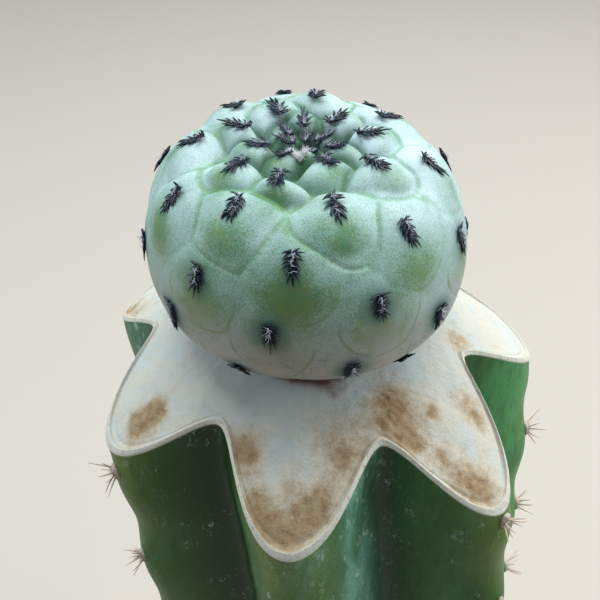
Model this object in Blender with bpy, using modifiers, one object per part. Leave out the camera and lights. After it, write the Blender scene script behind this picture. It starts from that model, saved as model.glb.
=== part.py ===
"""A potted sulcorebutia, grafted on a seven-ribbed columnar cactus.

The plant stands in a plain clay pot. A globe of spiralled tubercles sits on
the bevelled cut top of its stock, and the stock stands in gritty soil.
The origin is the centre of the pot's foot, +Z is up, and -Y is the front.
"""

import math

import bmesh
import bpy
import numpy as np
from mathutils import Matrix, Vector, noise

MM = 0.001
GAP = 0.3 * MM                  # clearance between pieces that touch
WELD = 0.01 * MM                # merge distance of the turned shapes

# Pot: a turned clay pot with a banded rim and a drain hole
POT_HEIGHT = 78 * MM
POT_FOOT_RADIUS = 30 * MM
POT_RIM_RADIUS = 43 * MM
POT_BAND_HEIGHT = 19 * MM       # height of the rim's band
POT_BAND_STEP = 2.2 * MM        # how far the band stands out from the wall
POT_WALL = 4 * MM
POT_FLOOR = 6 * MM
POT_EDGE = 1.1 * MM             # rounding of the pot's edges
DRAIN_RADIUS = 6 * MM
POT_STEPS = 48

# Soil: gritty mix, a little below the rim
SOIL_LEVEL = 70 * MM
SOIL_RELIEF = 1.3 * MM
SOIL_GRIT = 4.5 * MM            # width of one lump of the relief
SOIL_RINGS = 5

# Stock: seven ribs, cut at the top and bevelled over the rib tips
RIBS = 7
STEPS_PER_RIB = 10
CUT_LEVEL = 195 * MM            # middle of the cut face
STOCK_FOOT = 40 * MM            # lower end, buried in the soil
FIRST_RIB = math.radians(160)   # azimuth of the first rib
RIB_TURN = [-1.5, -1, 1.5, 1.5, 0.5, 1, -1]             # degrees off the even spacing
RIB_RADIUS = [26.9, 26.9, 27.7, 28.9, 27.4, 27.8, 27.2]  # mm, rib tips
FURROW_TURN = [-5, 0, 3, 2, -1.5, 1, -1]                # degrees off the even spacing
FURROW_RADIUS = [19.4, 18.7, 19.3, 18.0, 18.5, 18.9, 18.6]  # mm, bottom of the furrows
RIB_ROUNDNESS = 1.8             # power of the sine from a furrow to a rib tip
BEVEL_START = 10.4 * MM         # radius where the cut face starts to fall
BEVEL_REACH = 27.6 * MM         # radius where it has fallen by BEVEL_DROP
BEVEL_DROP = 10.6 * MM
BEVEL_POWER = 1.62
TIP_LEVEL = CUT_LEVEL - BEVEL_DROP
CALLUS_RIM = 0.35 * MM          # height of the raised edge of the cut
STOCK_LEAN = 5 * MM             # how far the lower stock stands off the axis
LEAN_DEPTH = 45 * MM
RIB_SWELL = 0.015               # part by which the ribs widen below the cut
SWELL_DEPTH = 20 * MM
FOOT_TAPER = 30 * MM            # length over which the buried end narrows
FOOT_NARROWING = 0.28
AREOLE_PITCH = 17 * MM
AREOLE_DEPTH = [14, 3.5, 12, 3, 14.5, 11, 16]  # mm from each rib tip down to its first areole
AREOLE_SWELL = 0.35 * MM
AREOLE_WAVE_SHIFT = 0.12        # part of the pitch by which a swelling lies below its areole
AREOLE_RADIUS = 0.9 * MM
STOCK_SPINE = 3.2 * MM          # length of the stock's longest spines
STOCK_SPINE_RADIUS = 0.24 * MM
STOCK_SPINE_ROOT = 1.1 * MM
STOCK_SPINES = [(-0.9, 0.3, 0.8), (0.9, 0.2, 0.85), (0.2, -0.9, 1)]  # side, up, length
STOCK_ROW = 8 * MM

# Scion: a flattened globe of tubercles that follow one spiral
SCION_RADIUS = 17.1 * MM
SCION_CENTRE = Vector((-0.45 * MM, -0.9 * MM, CUT_LEVEL + 9.75 * MM))
SCION_TOP = 14.5 * MM           # crown above the widest level
SCION_BOTTOM = 10.25 * MM       # full depth of the underside's curve
TOP_POWER = 2.44
BOTTOM_POWER = 2.3
SCION_LEAN = (-0.045, 0.023)    # sideways and backward shift with height
DIMPLE_DEPTH = 2.6 * MM
DIMPLE_RADIUS = 7.0 * MM
SCION_STEPS = 64
SCION_ROWS = 31
ROW_CROWDING = 1.35             # rows lie closer towards the crown
TURN_PER_TUBERCLE = math.radians(106.61)
FIRST_TURN = math.radians(194.2)
CROWN_COUNT = 9                 # tubercles crowded in before the even spiral
CROWN_REACH = 19
CROWN_START = 1.25 * MM
CROWN_POWER = 1.26
SPIRAL_STEP = 1.54 * MM
SPIRAL_SHIFT = 1.7
SPIRAL_POWER = 0.807
SPIRAL_BACK = 1.33 * MM
TUBERCLES = 56
STRAYS = {                      # tubercles off the spiral: mm down the flesh, degrees round it
    12: (1, 8), 13: (1.4, -6), 15: (-1, 0), 18: (0, 7), 19: (1.6, -5), 20: (0.7, 0), 21: (-0.8, -3),
    22: (-1.4, -5), 23: (-0.6, -8), 30: (-1.4, -6), 36: (1.2, 0), 37: (-1.2, -4), 40: (-0.8, 0),
    44: (-0.8, -5)}
SMALLEST_KNOB = 1.2 * MM        # width of the youngest tubercle that shows
TUBERCLE_DEPTH = 1.25 * MM      # depth of the grooves round the crown
FLANK_DEPTH = 0.12              # part of it that is left on the flank
SHOULDER = 12.5 * MM            # distance from the crown's middle where the grooves fade
SHOULDER_WIDTH = 2.4 * MM
GROOVE_SOFTNESS = 0.14 * MM     # rounding of the grooves' bottoms
TUBERCLE_POWER = 2.4            # a higher power gives flatter domes and narrower grooves
TUBERCLE_SAG = 0.2              # part of a tubercle by which it hangs below its areole
SPINE_LENGTH = 1.75 * MM
COMB_ROOTS = [0.3, -0.15, -0.75]       # places of the spine pairs along a comb, in spine lengths
COMB_PAIR_LENGTH = 0.78
COMB_FIRST_LEAN = math.radians(35)
COMB_LEAN_STEP = math.radians(20)
COMB_LENGTH = 0.75              # half the length of a comb's middle, in spine lengths
COMB_WIDTH = 0.24               # half its width
COMB_RIDGE = 0.26               # its height
COMB_LIFT = 0.2                 # height of the spine tips
COMB_SINK = 0.1                 # depth of the notches between the spines
COMB_ROOT = 0.6                 # depth of the comb's root


def clear_scene():
    """Remove every object that the file opens with."""
    for item in list(bpy.data.objects):
        bpy.data.objects.remove(item, do_unlink=True)


def new_collection(name):
    """Make a collection in the scene."""
    group = bpy.data.collections.new(name)
    bpy.context.scene.collection.children.link(group)
    return group


def clay_material():
    """Unglazed red-brown clay."""
    return plain_material("unglazed_clay", (0.46, 0.22, 0.13), 0.9)


def soil_material():
    """Brown mineral grit."""
    return plain_material("gritty_soil", (0.16, 0.11, 0.075), 0.95)


def stock_material():
    """Waxy green skin."""
    return plain_material("stock_skin", (0.13, 0.27, 0.12), 0.5)


def scion_material():
    """Pale blue-green skin with a powdery bloom."""
    return plain_material("scion_skin", (0.42, 0.58, 0.45), 0.65)


def plain_material(name, colour, roughness):
    """Make a Principled material of one colour."""
    material = bpy.data.materials.new(name)
    material.use_nodes = True
    shader = material.node_tree.nodes["Principled BSDF"]
    shader.inputs["Base Color"].default_value = (*colour, 1)
    shader.inputs["Roughness"].default_value = roughness
    shader.inputs["Metallic"].default_value = 0
    return material


def turned_mesh(name, profile, steps, closed):
    """Turn a profile of (radius, height) points about Z into one closed mesh.

    The profile runs down the outer side. It is an open line whose ends lie on the axis, or a closed loop.
    """
    points = [(radius, 0, height) for radius, height in profile]
    edges = [(i, i + 1) for i in range(len(points) - 1)]
    if closed:
        edges.append((len(points) - 1, 0))
    line = bpy.data.meshes.new(name + "_profile")
    line.from_pydata(points, edges, [])
    item = bpy.data.objects.new(name + "_profile", line)
    bpy.context.scene.collection.objects.link(item)
    screw = item.modifiers.new("turn", "SCREW")
    screw.steps = steps
    screw.render_steps = steps
    screw.use_merge_vertices = True
    screw.merge_threshold = WELD
    bpy.context.view_layer.update()
    shape = item.evaluated_get(bpy.context.evaluated_depsgraph_get())
    mesh = bpy.data.meshes.new_from_object(shape)
    mesh.name = name
    bpy.data.objects.remove(item, do_unlink=True)
    return mesh


def vertex_array(mesh):
    """Read a mesh's vertices as an array with one row each."""
    flat = np.empty(len(mesh.vertices) * 3)
    mesh.vertices.foreach_get("co", flat)
    return flat.reshape(-1, 3)


def place_vertices(mesh, points):
    """Move a mesh's vertices to the rows of an array."""
    mesh.vertices.foreach_set("co", points.ravel())
    mesh.update()


def add_object(name, mesh, material, group):
    """Put a mesh in a collection as a smooth object with one material."""
    mesh.materials.clear()
    mesh.materials.append(material)
    mesh.shade_smooth()
    mesh.set_sharp_from_angle(angle=math.radians(50))
    item = bpy.data.objects.new(name, mesh)
    group.objects.link(item)
    return item


def fuse(item, repeats):
    """Fuse a collection of small closed shapes to an object with one union."""
    union = item.modifiers.new("grown_together", "BOOLEAN")
    union.operation = "UNION"
    union.operand_type = "COLLECTION"
    union.collection = repeats
    union.solver = "EXACT"
    bpy.context.view_layer.update()
    shape = item.evaluated_get(bpy.context.evaluated_depsgraph_get())
    mesh = bpy.data.meshes.new_from_object(shape)
    item.modifiers.clear()
    item.data = mesh
    for small in list(repeats.objects):
        bpy.data.objects.remove(small, do_unlink=True)
    bpy.data.collections.remove(repeats)


def pot_profile():
    """The pot's closed section: outer side, foot, drain hole, floor, inner side and rim."""
    band_low = POT_HEIGHT - POT_BAND_HEIGHT
    wall_top = POT_RIM_RADIUS - POT_BAND_STEP - 1.4 * MM
    inner_top = POT_RIM_RADIUS - POT_WALL
    inner_low = POT_FOOT_RADIUS - POT_WALL + 1 * MM
    return [
        (POT_RIM_RADIUS - POT_EDGE, POT_HEIGHT),
        (POT_RIM_RADIUS - 0.3 * POT_EDGE, POT_HEIGHT - 0.3 * POT_EDGE),
        (POT_RIM_RADIUS, POT_HEIGHT - POT_EDGE),
        (POT_RIM_RADIUS - 1.2 * MM, band_low + POT_EDGE),
        (POT_RIM_RADIUS - 1.2 * MM - POT_EDGE, band_low),
        (wall_top, band_low - 0.5 * MM),
        (POT_FOOT_RADIUS + 0.3 * MM, POT_EDGE),
        (POT_FOOT_RADIUS - POT_EDGE, 0),
        (DRAIN_RADIUS + 0.5 * POT_EDGE, 0),
        (DRAIN_RADIUS, 0.5 * POT_EDGE),
        (DRAIN_RADIUS, POT_FLOOR),
        (inner_low - 2 * MM, POT_FLOOR),
        (inner_low, POT_FLOOR + 2 * MM),
        (inner_top, POT_HEIGHT - POT_EDGE),
        (inner_top + POT_EDGE, POT_HEIGHT),
    ]


def make_pot(group):
    """The pot, turned from its section."""
    mesh = turned_mesh("pot", pot_profile(), POT_STEPS, True)
    return add_object("pot", mesh, clay_material(), group)


def rib_angles():
    """Azimuths of the rib tips and of the furrow after each one."""
    step = 2 * math.pi / RIBS
    count = np.arange(RIBS)
    tips = FIRST_RIB + step * count + np.radians(RIB_TURN)
    furrows = FIRST_RIB + step * (count + 0.5) + np.radians(FURROW_TURN)
    return tips, furrows


def stock_section(turn):
    """Radius of the ribbed section and nearness to a rib's crest, for a place counted in ribs.

    Between a furrow and a rib tip the radius rises with a power of the sine. Whole numbers of turn are
    rib tips and halves are furrows. Returns azimuth, radius and a weight of 1 on the crest, 0 in a furrow.
    """
    tips, furrows = rib_angles()
    rib = np.floor(turn).astype(int)
    part = turn - rib
    first_half = part < 0.5
    near_tip = np.where(first_half, rib, rib + 1)
    share = np.where(first_half, 1 - 2 * part, 2 * part - 1)
    wrap = 2 * math.pi * (near_tip // RIBS)
    tip_angle = tips[near_tip % RIBS] + wrap
    tip_radius = np.array(RIB_RADIUS)[near_tip % RIBS] * MM
    furrow_angle = furrows[rib % RIBS]
    furrow_radius = np.array(FURROW_RADIUS)[rib % RIBS] * MM
    crest = np.sin(0.5 * math.pi * share) ** RIB_ROUNDNESS
    azimuth = furrow_angle + (tip_angle - furrow_angle) * share
    radius = furrow_radius + (tip_radius - furrow_radius) * crest
    return azimuth, radius, crest


def bevel_fall(radius):
    """How far the cut face lies below its middle at a radius."""
    share = np.maximum(radius - BEVEL_START, 0) / (BEVEL_REACH - BEVEL_START)
    return BEVEL_DROP * share ** BEVEL_POWER


def stock_offset(level):
    """Sideways place of the stock's axis at a level."""
    depth = np.maximum(TIP_LEVEL - level, 0)
    return STOCK_LEAN * (1 - np.exp(-depth / LEAN_DEPTH))


def body_factor(level):
    """Widening of the ribs below the cut, and narrowing to the rounded foot."""
    depth = np.maximum(TIP_LEVEL - level, 0)
    swell = 1 + RIB_SWELL * (1 - np.exp(-depth / SWELL_DEPTH))
    foot = np.clip((level - STOCK_FOOT) / FOOT_TAPER, 0, 1)
    return swell * (1 - FOOT_NARROWING * (1 - np.sin(0.5 * math.pi * foot)))


def areole_wave(turn, level):
    """Low swellings under each areole along a rib's crest, from -1 to 1."""
    depth_mm = np.array(AREOLE_DEPTH)[np.round(turn).astype(int) % RIBS]
    depth = TIP_LEVEL - level
    phase = (depth - depth_mm * MM) / AREOLE_PITCH
    fade = np.clip(depth / (0.35 * AREOLE_PITCH), 0, 1)
    return np.cos(2 * math.pi * (phase - AREOLE_WAVE_SHIFT)) * fade


def stock_surface(turn, level):
    """Points on the ribbed side of the stock."""
    azimuth, radius, crest = stock_section(turn)
    radius = radius * body_factor(level) + AREOLE_SWELL * crest ** 2 * areole_wave(turn, level)
    x = radius * np.cos(azimuth) + stock_offset(level)
    return np.stack([x, radius * np.sin(azimuth), level], -1)


def stock_mesh():
    """The turned column whose points are moved to the ribs and to the bevelled, calloused cut."""
    steps = RIBS * STEPS_PER_RIB
    face_shares = [0, 0.38, 0.56, 0.72, 0.86, 0.955, 0.985, 1]
    side_rows = int((CUT_LEVEL - STOCK_FOOT) / STOCK_ROW)
    side = [(1, -1 - row / side_rows) for row in range(side_rows + 1)]
    profile = [(share, 0.001 - 0.001 * share) for share in face_shares] + side + [(0, -2.001)]
    mesh = turned_mesh("stock", profile, steps, False)
    points = vertex_array(mesh)
    share = np.hypot(points[:, 0], points[:, 1])
    mark = points[:, 2]
    turn = np.round(np.arctan2(points[:, 1], points[:, 0]) / (2 * math.pi) * steps) % steps / STEPS_PER_RIB
    azimuth, radius = stock_section(turn)[:2]
    edge_level = CUT_LEVEL - bevel_fall(radius)

    reach = np.minimum(share, 1) * radius
    rim = CALLUS_RIM * np.exp(-((share - 0.985) / 0.012) ** 2)
    face_level = CUT_LEVEL - bevel_fall(reach) + rim
    face = np.stack([reach * np.cos(azimuth), reach * np.sin(azimuth), face_level], -1)

    along = np.clip(-mark - 1, 0, 1)
    shoulder = 0.6 * MM
    level = edge_level - shoulder + (STOCK_FOOT - edge_level + shoulder) * along
    sides = stock_surface(turn, level)
    sides[share < 0.5] = (STOCK_LEAN, 0, STOCK_FOOT - 1 * MM)
    place_vertices(mesh, np.where((mark > -0.5)[:, None], face, sides))
    return mesh


def spine(mesh, root, direction, length, radius, sunk):
    """Add one three-sided spine to a bmesh, its foot sunk along its own line."""
    height = length + sunk
    turn = direction.to_track_quat("Z", "Y").to_matrix().to_4x4()
    middle = root + direction * (0.5 * height - sunk)
    bmesh.ops.create_cone(
        mesh, cap_ends=True, cap_tris=True, segments=3, radius1=radius, radius2=0,
        depth=height, matrix=Matrix.Translation(middle) @ turn)


def add_cluster(name, mesh, group):
    """Put a bmesh of small shapes in a collection as one object."""
    data = bpy.data.meshes.new(name)
    mesh.to_mesh(data)
    mesh.free()
    group.objects.link(bpy.data.objects.new(name, data))


def stock_areole(name, rib, level, group):
    """A felt cushion on a rib's crest with three short spines that spread from it."""
    place = Vector(stock_surface(np.array([float(rib)]), np.array([level]))[0])
    azimuth = rib_angles()[0][rib]
    out = Vector((math.cos(azimuth), math.sin(azimuth), 0))
    side = Vector((-out.y, out.x, 0))
    cluster = bmesh.new()
    tall = Matrix.Diagonal((AREOLE_RADIUS, AREOLE_RADIUS, 1.3 * AREOLE_RADIUS, 1))
    bmesh.ops.create_icosphere(cluster, subdivisions=1, radius=1, matrix=Matrix.Translation(place) @ tall)
    add_cluster(name + "_felt", cluster, group)
    cluster = bmesh.new()
    for sideways, upward, share in STOCK_SPINES:
        direction = (out + side * sideways + Vector((0, 0, upward))).normalized()
        root = place + side * (0.45 * MM * sideways) + Vector((0, 0, 0.5 * MM * upward)) + out * 0.4 * MM
        spine(cluster, root, direction, STOCK_SPINE * share, STOCK_SPINE_RADIUS, STOCK_SPINE_ROOT)
    add_cluster(name + "_spines", cluster, group)


def make_stock(group):
    """The ribbed stock with its cut face, its areoles and their spines, grown together."""
    item = add_object("stock", stock_mesh(), stock_material(), group)
    repeats = new_collection("stock_areoles")
    for rib in range(RIBS):
        first = TIP_LEVEL - AREOLE_DEPTH[rib] * MM
        rows = int((first - SOIL_LEVEL - 4 * MM) / AREOLE_PITCH) + 1
        for row in range(rows):
            stock_areole(f"areole_{rib}_{row}", rib, first - row * AREOLE_PITCH, repeats)
    fuse(item, repeats)
    return item


def scion_curve():
    """The globe's section as arc length, radius and height, from the crown's middle to the cut base.

    Both halves are superellipses about the widest level, and the base is cut flat above the stock.
    """
    base = SCION_CENTRE.z - CUT_LEVEL - GAP
    cut = math.asin((base / SCION_BOTTOM) ** (BOTTOM_POWER / 2))
    upper = np.linspace(0, 0.5 * math.pi, 160)
    lower = np.linspace(0, cut, 120)[1:]
    above = (np.sin(upper) ** (2 / TOP_POWER), np.cos(upper) ** (2 / TOP_POWER))
    below = (np.cos(lower) ** (2 / BOTTOM_POWER), np.sin(lower) ** (2 / BOTTOM_POWER))
    radius = SCION_RADIUS * np.concatenate([above[0], below[0]])
    height = np.concatenate([SCION_TOP * above[1], -SCION_BOTTOM * below[1]])
    height = height - DIMPLE_DEPTH * np.exp(-(radius / DIMPLE_RADIUS) ** 2) * (height > 0)
    arc = np.concatenate([[0], np.cumsum(np.hypot(np.diff(radius), np.diff(height)))])
    return arc, radius, height


def scion_point(arc_length, azimuth):
    """Points on the smooth globe, about its own centre."""
    arc, radius, height = scion_curve()
    reach = np.interp(arc_length, arc, radius)
    level = np.interp(arc_length, arc, height)
    return np.stack([reach * np.cos(azimuth), reach * np.sin(azimuth), level], -1)


def tubercle_widths(arc):
    """Width of each tubercle, from the area that the spiral leaves to it."""
    reach = np.hypot(*scion_point(arc, np.zeros_like(arc))[:, :2].T)
    return np.sqrt(1.155 * 2 * math.pi * np.maximum(reach, 1 * MM) * np.gradient(arc))


def tubercle_places():
    """Arc length, azimuth and tubercle width at every areole of the spiral, crowded at the crown."""
    number = np.arange(TUBERCLES)
    later = np.maximum(number - CROWN_COUNT, 0)
    even = SPIRAL_STEP * (later + SPIRAL_SHIFT) ** SPIRAL_POWER - SPIRAL_BACK
    join = SPIRAL_STEP * (CROWN_REACH - CROWN_COUNT + SPIRAL_SHIFT) ** SPIRAL_POWER - SPIRAL_BACK
    crowded = CROWN_START + (join - CROWN_START) * (number / CROWN_REACH) ** CROWN_POWER
    arc = np.where(number < CROWN_REACH, crowded, even)
    azimuth = FIRST_TURN + TURN_PER_TUBERCLE * (number - CROWN_COUNT)
    widths = tubercle_widths(arc)
    for stray, (down, round_it) in STRAYS.items():
        arc[stray] += down * MM
        azimuth[stray] += math.radians(round_it)
    kept = (widths > SMALLEST_KNOB) & (arc < scion_curve()[0][-1] - 3.5 * MM)
    return arc[kept], azimuth[kept], widths[kept]


def tubercle_depths(arc, widths):
    """Depth of the grooves: shallow in the crown's small knobs and fading out on the lower flank."""
    fade = 1 / (1 + np.exp((arc - SHOULDER) / SHOULDER_WIDTH))
    return np.minimum(TUBERCLE_DEPTH * (FLANK_DEPTH + (1 - FLANK_DEPTH) * fade), 0.3 * widths)


def tubercle_relief(points):
    """Height of the flesh over the smooth globe: a soft maximum of one low dome for each tubercle."""
    arc, azimuth, widths = tubercle_places()
    depths = tubercle_depths(arc, widths)
    sag = TUBERCLE_SAG * widths * np.clip(arc / (12 * MM), 0, 1)
    centres = scion_point(arc + sag, azimuth)
    distance = np.linalg.norm(points[:, None] - centres[None], axis=2)
    domes = -depths * (distance / (0.5 * widths)) ** TUBERCLE_POWER
    peak = domes.max(axis=1)
    blend = np.exp((domes - peak[:, None]) / GROOVE_SOFTNESS).sum(axis=1)
    relief = peak + GROOVE_SOFTNESS * np.log(blend)
    return np.maximum(relief, -1.6 * TUBERCLE_DEPTH) + 0.3 * MM


def scion_normals(arc_length, azimuth):
    """Outward directions of the smooth globe."""
    step = 0.02 * MM
    arc_end = scion_curve()[0][-1]
    low = np.clip(arc_length - step, 0, arc_end)
    high = np.clip(arc_length + step, 0, arc_end)
    slope = scion_point(high, azimuth) - scion_point(low, azimuth)
    around = np.stack([-np.sin(azimuth), np.cos(azimuth), np.zeros_like(azimuth)], -1)
    normal = np.cross(slope, around)
    return normal / np.linalg.norm(normal, axis=1)[:, None]


def scion_surface(arc_length, azimuth):
    """Points of the finished flesh, about the globe's centre, with its base kept flat."""
    points = scion_point(arc_length, azimuth)
    arc_end = scion_curve()[0][-1]
    keep = np.clip((arc_end - arc_length) / (4 * MM), 0, 1)
    relief = tubercle_relief(points) * keep
    points = points + scion_normals(arc_length, azimuth) * relief[:, None]
    base = CUT_LEVEL + GAP - SCION_CENTRE.z
    points[:, 2] = np.maximum(points[:, 2], base)
    points[:, :2] += np.outer(points[:, 2] - base, SCION_LEAN)
    return points


def scion_mesh():
    """The turned globe whose points are moved to the tubercles."""
    arc_end = scion_curve()[0][-1]
    shares = (np.arange(SCION_ROWS + 1) / SCION_ROWS) ** ROW_CROWDING
    profile = [(0, 1)] + [(1, 1 - share) for share in shares[1:]] + [(0, -0.01)]
    mesh = turned_mesh("scion", profile, SCION_STEPS, False)
    marks = vertex_array(mesh)
    azimuth = np.arctan2(marks[:, 1], marks[:, 0])
    arc_length = np.clip(1 - marks[:, 2], 0, 1) * arc_end
    points = scion_surface(arc_length, azimuth)
    on_axis = np.hypot(marks[:, 0], marks[:, 1]) < 0.5
    base = CUT_LEVEL + GAP - SCION_CENTRE.z
    points[on_axis & (marks[:, 2] < 0)] = (0, 0, base)
    place_vertices(mesh, points + np.array(SCION_CENTRE))
    return mesh


def comb_outline():
    """One comb of spines seen from above, as (down, side, height) points on a scale of spine lengths.

    The spine tips and the notches between them take turns around the comb, from its lowest tip up one
    side and down the other. The pairs lean more sideways towards the top. Each notch lies halfway
    between two tips, on the long ellipse of the areole.
    """
    tips = [(COMB_ROOTS[0] + 0.95, 0)]
    for number, root in enumerate(COMB_ROOTS):
        lean = COMB_FIRST_LEAN + COMB_LEAN_STEP * number
        tips.append((root + COMB_PAIR_LENGTH * math.cos(lean), COMB_PAIR_LENGTH * math.sin(lean)))
    tips += [(down, -across) for down, across in reversed(tips[1:])]
    turns = [math.atan2(across, down) % (2 * math.pi) for down, across in tips] + [2 * math.pi]
    outline = []
    for number, (down, across) in enumerate(tips):
        middle = 0.5 * (turns[number] + turns[number + 1])
        reach = 1 / math.hypot(math.cos(middle) / COMB_LENGTH, math.sin(middle) / COMB_WIDTH)
        outline.append((down, across, COMB_LIFT))
        outline.append((reach * math.cos(middle), reach * math.sin(middle), -COMB_SINK))
    return outline


def scion_areole(name, arc, azimuth, size, group):
    """A comb of small spines that lie along the flesh and point away from the crown."""
    flesh = scion_surface(np.array([arc, arc + 0.3 * MM]), np.array([azimuth, azimuth]))
    place = Vector(flesh[0]) + SCION_CENTRE
    normal = Vector(scion_normals(np.array([arc]), np.array([azimuth]))[0])
    down = Vector(flesh[1] - flesh[0])
    down = (down - normal * down.dot(normal)).normalized()
    side = normal.cross(down)
    outline = comb_outline()
    comb = bmesh.new()
    bmesh.ops.create_cone(
        comb, cap_ends=True, cap_tris=True, segments=len(outline), radius1=1, radius2=0, depth=2)
    scale = SPINE_LENGTH * size
    for point in comb.verts:
        if math.hypot(point.co.x, point.co.y) < 0.5:
            level = COMB_RIDGE if point.co.z > 0 else -COMB_ROOT
            spot = (0, 0, level)
        else:
            turn = math.atan2(point.co.y, point.co.x) / (2 * math.pi)
            spot = outline[round(turn * len(outline)) % len(outline)]
        point.co = place + (down * spot[0] + side * spot[1] + normal * spot[2]) * scale
    add_cluster(name, comb, group)


def make_scion(group):
    """The sulcorebutia: its tubercled globe and its spine clusters, grown together."""
    item = add_object("scion", scion_mesh(), scion_material(), group)
    repeats = new_collection("scion_areoles")
    arc, azimuth, widths = tubercle_places()
    sizes = np.clip(widths / (4.5 * MM), 0.6, 1)
    for number in range(len(arc)):
        scion_areole(f"comb_{number}", arc[number], azimuth[number], sizes[number], repeats)
    fuse(item, repeats)
    return item


def pot_inner_radius(level):
    """Radius of the pot's inner wall at a level, read from its section."""
    profile = pot_profile()
    low, high = profile[-3], profile[-2]
    share = (level - low[1]) / (high[1] - low[1])
    return low[0] + (high[0] - low[0]) * share


def soil_relief(x, y):
    """Lumps of the soil's surface."""
    near = noise.noise(Vector((x, y, 0)) / SOIL_GRIT)
    fine = noise.noise(Vector((x, y, 9 * MM)) / (0.45 * SOIL_GRIT))
    return SOIL_RELIEF * (0.7 * near + 0.4 * fine)


def make_soil(group):
    """The soil: a turned filling with a plain ribbed hole for the stock."""
    steps = RIBS * STEPS_PER_RIB
    floor = POT_FLOOR + GAP
    hole_floor = STOCK_FOOT - 1 * MM - GAP
    hole_rows = 5
    top = [(share, 4) for share in np.linspace(1, 2, SOIL_RINGS + 1)]
    hole = [(1, 3 + row / hole_rows) for row in range(hole_rows)]
    profile = [(0, 3 - 0.01)] + hole + top + [(2, 1), (1.85, 0), (0, 0)]
    mesh = turned_mesh("soil", profile, steps, False)
    marks = vertex_array(mesh)
    share = np.hypot(marks[:, 0], marks[:, 1])
    turn = np.round(np.arctan2(marks[:, 1], marks[:, 0]) / (2 * math.pi) * steps) % steps / STEPS_PER_RIB
    azimuth = stock_section(turn)[0]
    outward = np.stack([np.cos(azimuth), np.sin(azimuth)], -1)

    level = hole_floor + (SOIL_LEVEL - hole_floor) * np.clip(marks[:, 2] - 3, 0, 1)
    depth_share = (SOIL_LEVEL - level) / (SOIL_LEVEL - hole_floor)
    gap = GAP * (1.6 + 3 * depth_share)
    inner = stock_surface(turn, level)[:, :2] + outward * gap[:, None]
    wall_level = np.where(marks[:, 2] > 3.5, SOIL_LEVEL, POT_FLOOR + 2 * MM)
    outer = outward * (pot_inner_radius(wall_level) - 1.4 * GAP)[:, None]
    blend = np.clip(share - 1, 0, 1)[:, None]
    points = np.empty_like(marks)
    points[:, :2] = inner + (outer - inner) * blend
    points[:, 2] = level

    top_face = marks[:, 2] > 3.99
    for index in np.nonzero(top_face)[0]:
        points[index, 2] += soil_relief(points[index, 0], points[index, 1])
    lower_wall = np.isclose(marks[:, 2], 1, atol=0.01)
    points[lower_wall, :2] = outer[lower_wall]
    points[lower_wall, 2] = POT_FLOOR + 2.2 * MM
    underside = np.isclose(marks[:, 2], 0, atol=0.01)
    points[underside, :2] = outer[underside] * (share[underside] / 2)[:, None]
    points[underside, 2] = floor
    hole_middle = (share < 0.5) & (marks[:, 2] > 2)
    points[hole_middle] = (STOCK_LEAN, 0, hole_floor)
    place_vertices(mesh, points)
    return add_object("soil", mesh, soil_material(), group)


def build():
    """Make the potted plant."""
    clear_scene()
    group = new_collection("potted_sulcorebutia")
    make_pot(group)
    make_soil(group)
    make_stock(group)
    make_scion(group)


build()
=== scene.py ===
import math

import bpy
import numpy as np
from mathutils import Matrix, Vector


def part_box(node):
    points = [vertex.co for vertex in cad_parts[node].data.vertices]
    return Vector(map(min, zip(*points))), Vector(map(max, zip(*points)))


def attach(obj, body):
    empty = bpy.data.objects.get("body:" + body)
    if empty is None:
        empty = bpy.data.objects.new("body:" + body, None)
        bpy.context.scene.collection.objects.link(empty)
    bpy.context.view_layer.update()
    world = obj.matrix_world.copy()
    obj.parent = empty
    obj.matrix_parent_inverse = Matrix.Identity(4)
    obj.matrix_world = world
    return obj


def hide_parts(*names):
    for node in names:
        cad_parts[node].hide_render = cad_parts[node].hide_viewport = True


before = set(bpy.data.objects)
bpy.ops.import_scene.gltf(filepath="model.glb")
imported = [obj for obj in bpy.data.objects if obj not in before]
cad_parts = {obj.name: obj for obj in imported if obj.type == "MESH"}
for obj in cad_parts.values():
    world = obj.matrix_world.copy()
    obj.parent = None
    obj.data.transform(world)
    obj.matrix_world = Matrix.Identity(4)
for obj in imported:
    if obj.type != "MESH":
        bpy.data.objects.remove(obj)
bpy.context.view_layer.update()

# The room: a pale matt floor in soft light. A wide lamp stands high behind the plant's right shoulder, a
# larger one hangs over it, and a weaker one on each side leaves the front in soft shade.
MM = 0.001
GAP = 0.3 * MM                     # clearance between the pieces of the frame
CUT_LEVEL = 195 * MM               # middle of the stock's cut face
VIEW_DISTANCE = 105.8 * MM         # from the middle of the cut face to the lens
VIEW_ELEVATION = math.radians(41.48)
VIEW_PITCH = math.radians(41.2)
VIEW_YAW = math.radians(-1.24)
VIEW_ROLL = math.radians(-0.33)
LENS = 54
SENSOR = 36
FLOOR_HALF = 2.5
PALE_FLOOR = (0.62, 0.56, 0.49)
KEY_LIGHT = (1, 0.98, 0.95)
TOP_LIGHT = (0.84, 0.94, 1.0)


def aimed(place, target, up_hint=Vector((0, 0, 1))):
    """A matrix that looks from a place to a target, with its own Y as near to up as it can be."""
    back = (place - target).normalized()
    right = up_hint.cross(back).normalized()
    matrix = Matrix((right, back.cross(right), back)).transposed().to_4x4()
    matrix.translation = place
    return matrix


def soft_light(name, place, size, power, colour):
    """A square lamp that looks at the plant and doesn't show itself."""
    lamp = bpy.data.lights.new(name, "AREA")
    lamp.size = size
    lamp.energy = power
    lamp.color = colour
    item = bpy.data.objects.new(name, lamp)
    item.matrix_world = aimed(Vector(place), Vector((0, 0, CUT_LEVEL)))
    item.visible_camera = False
    bpy.context.scene.collection.objects.link(item)


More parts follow.
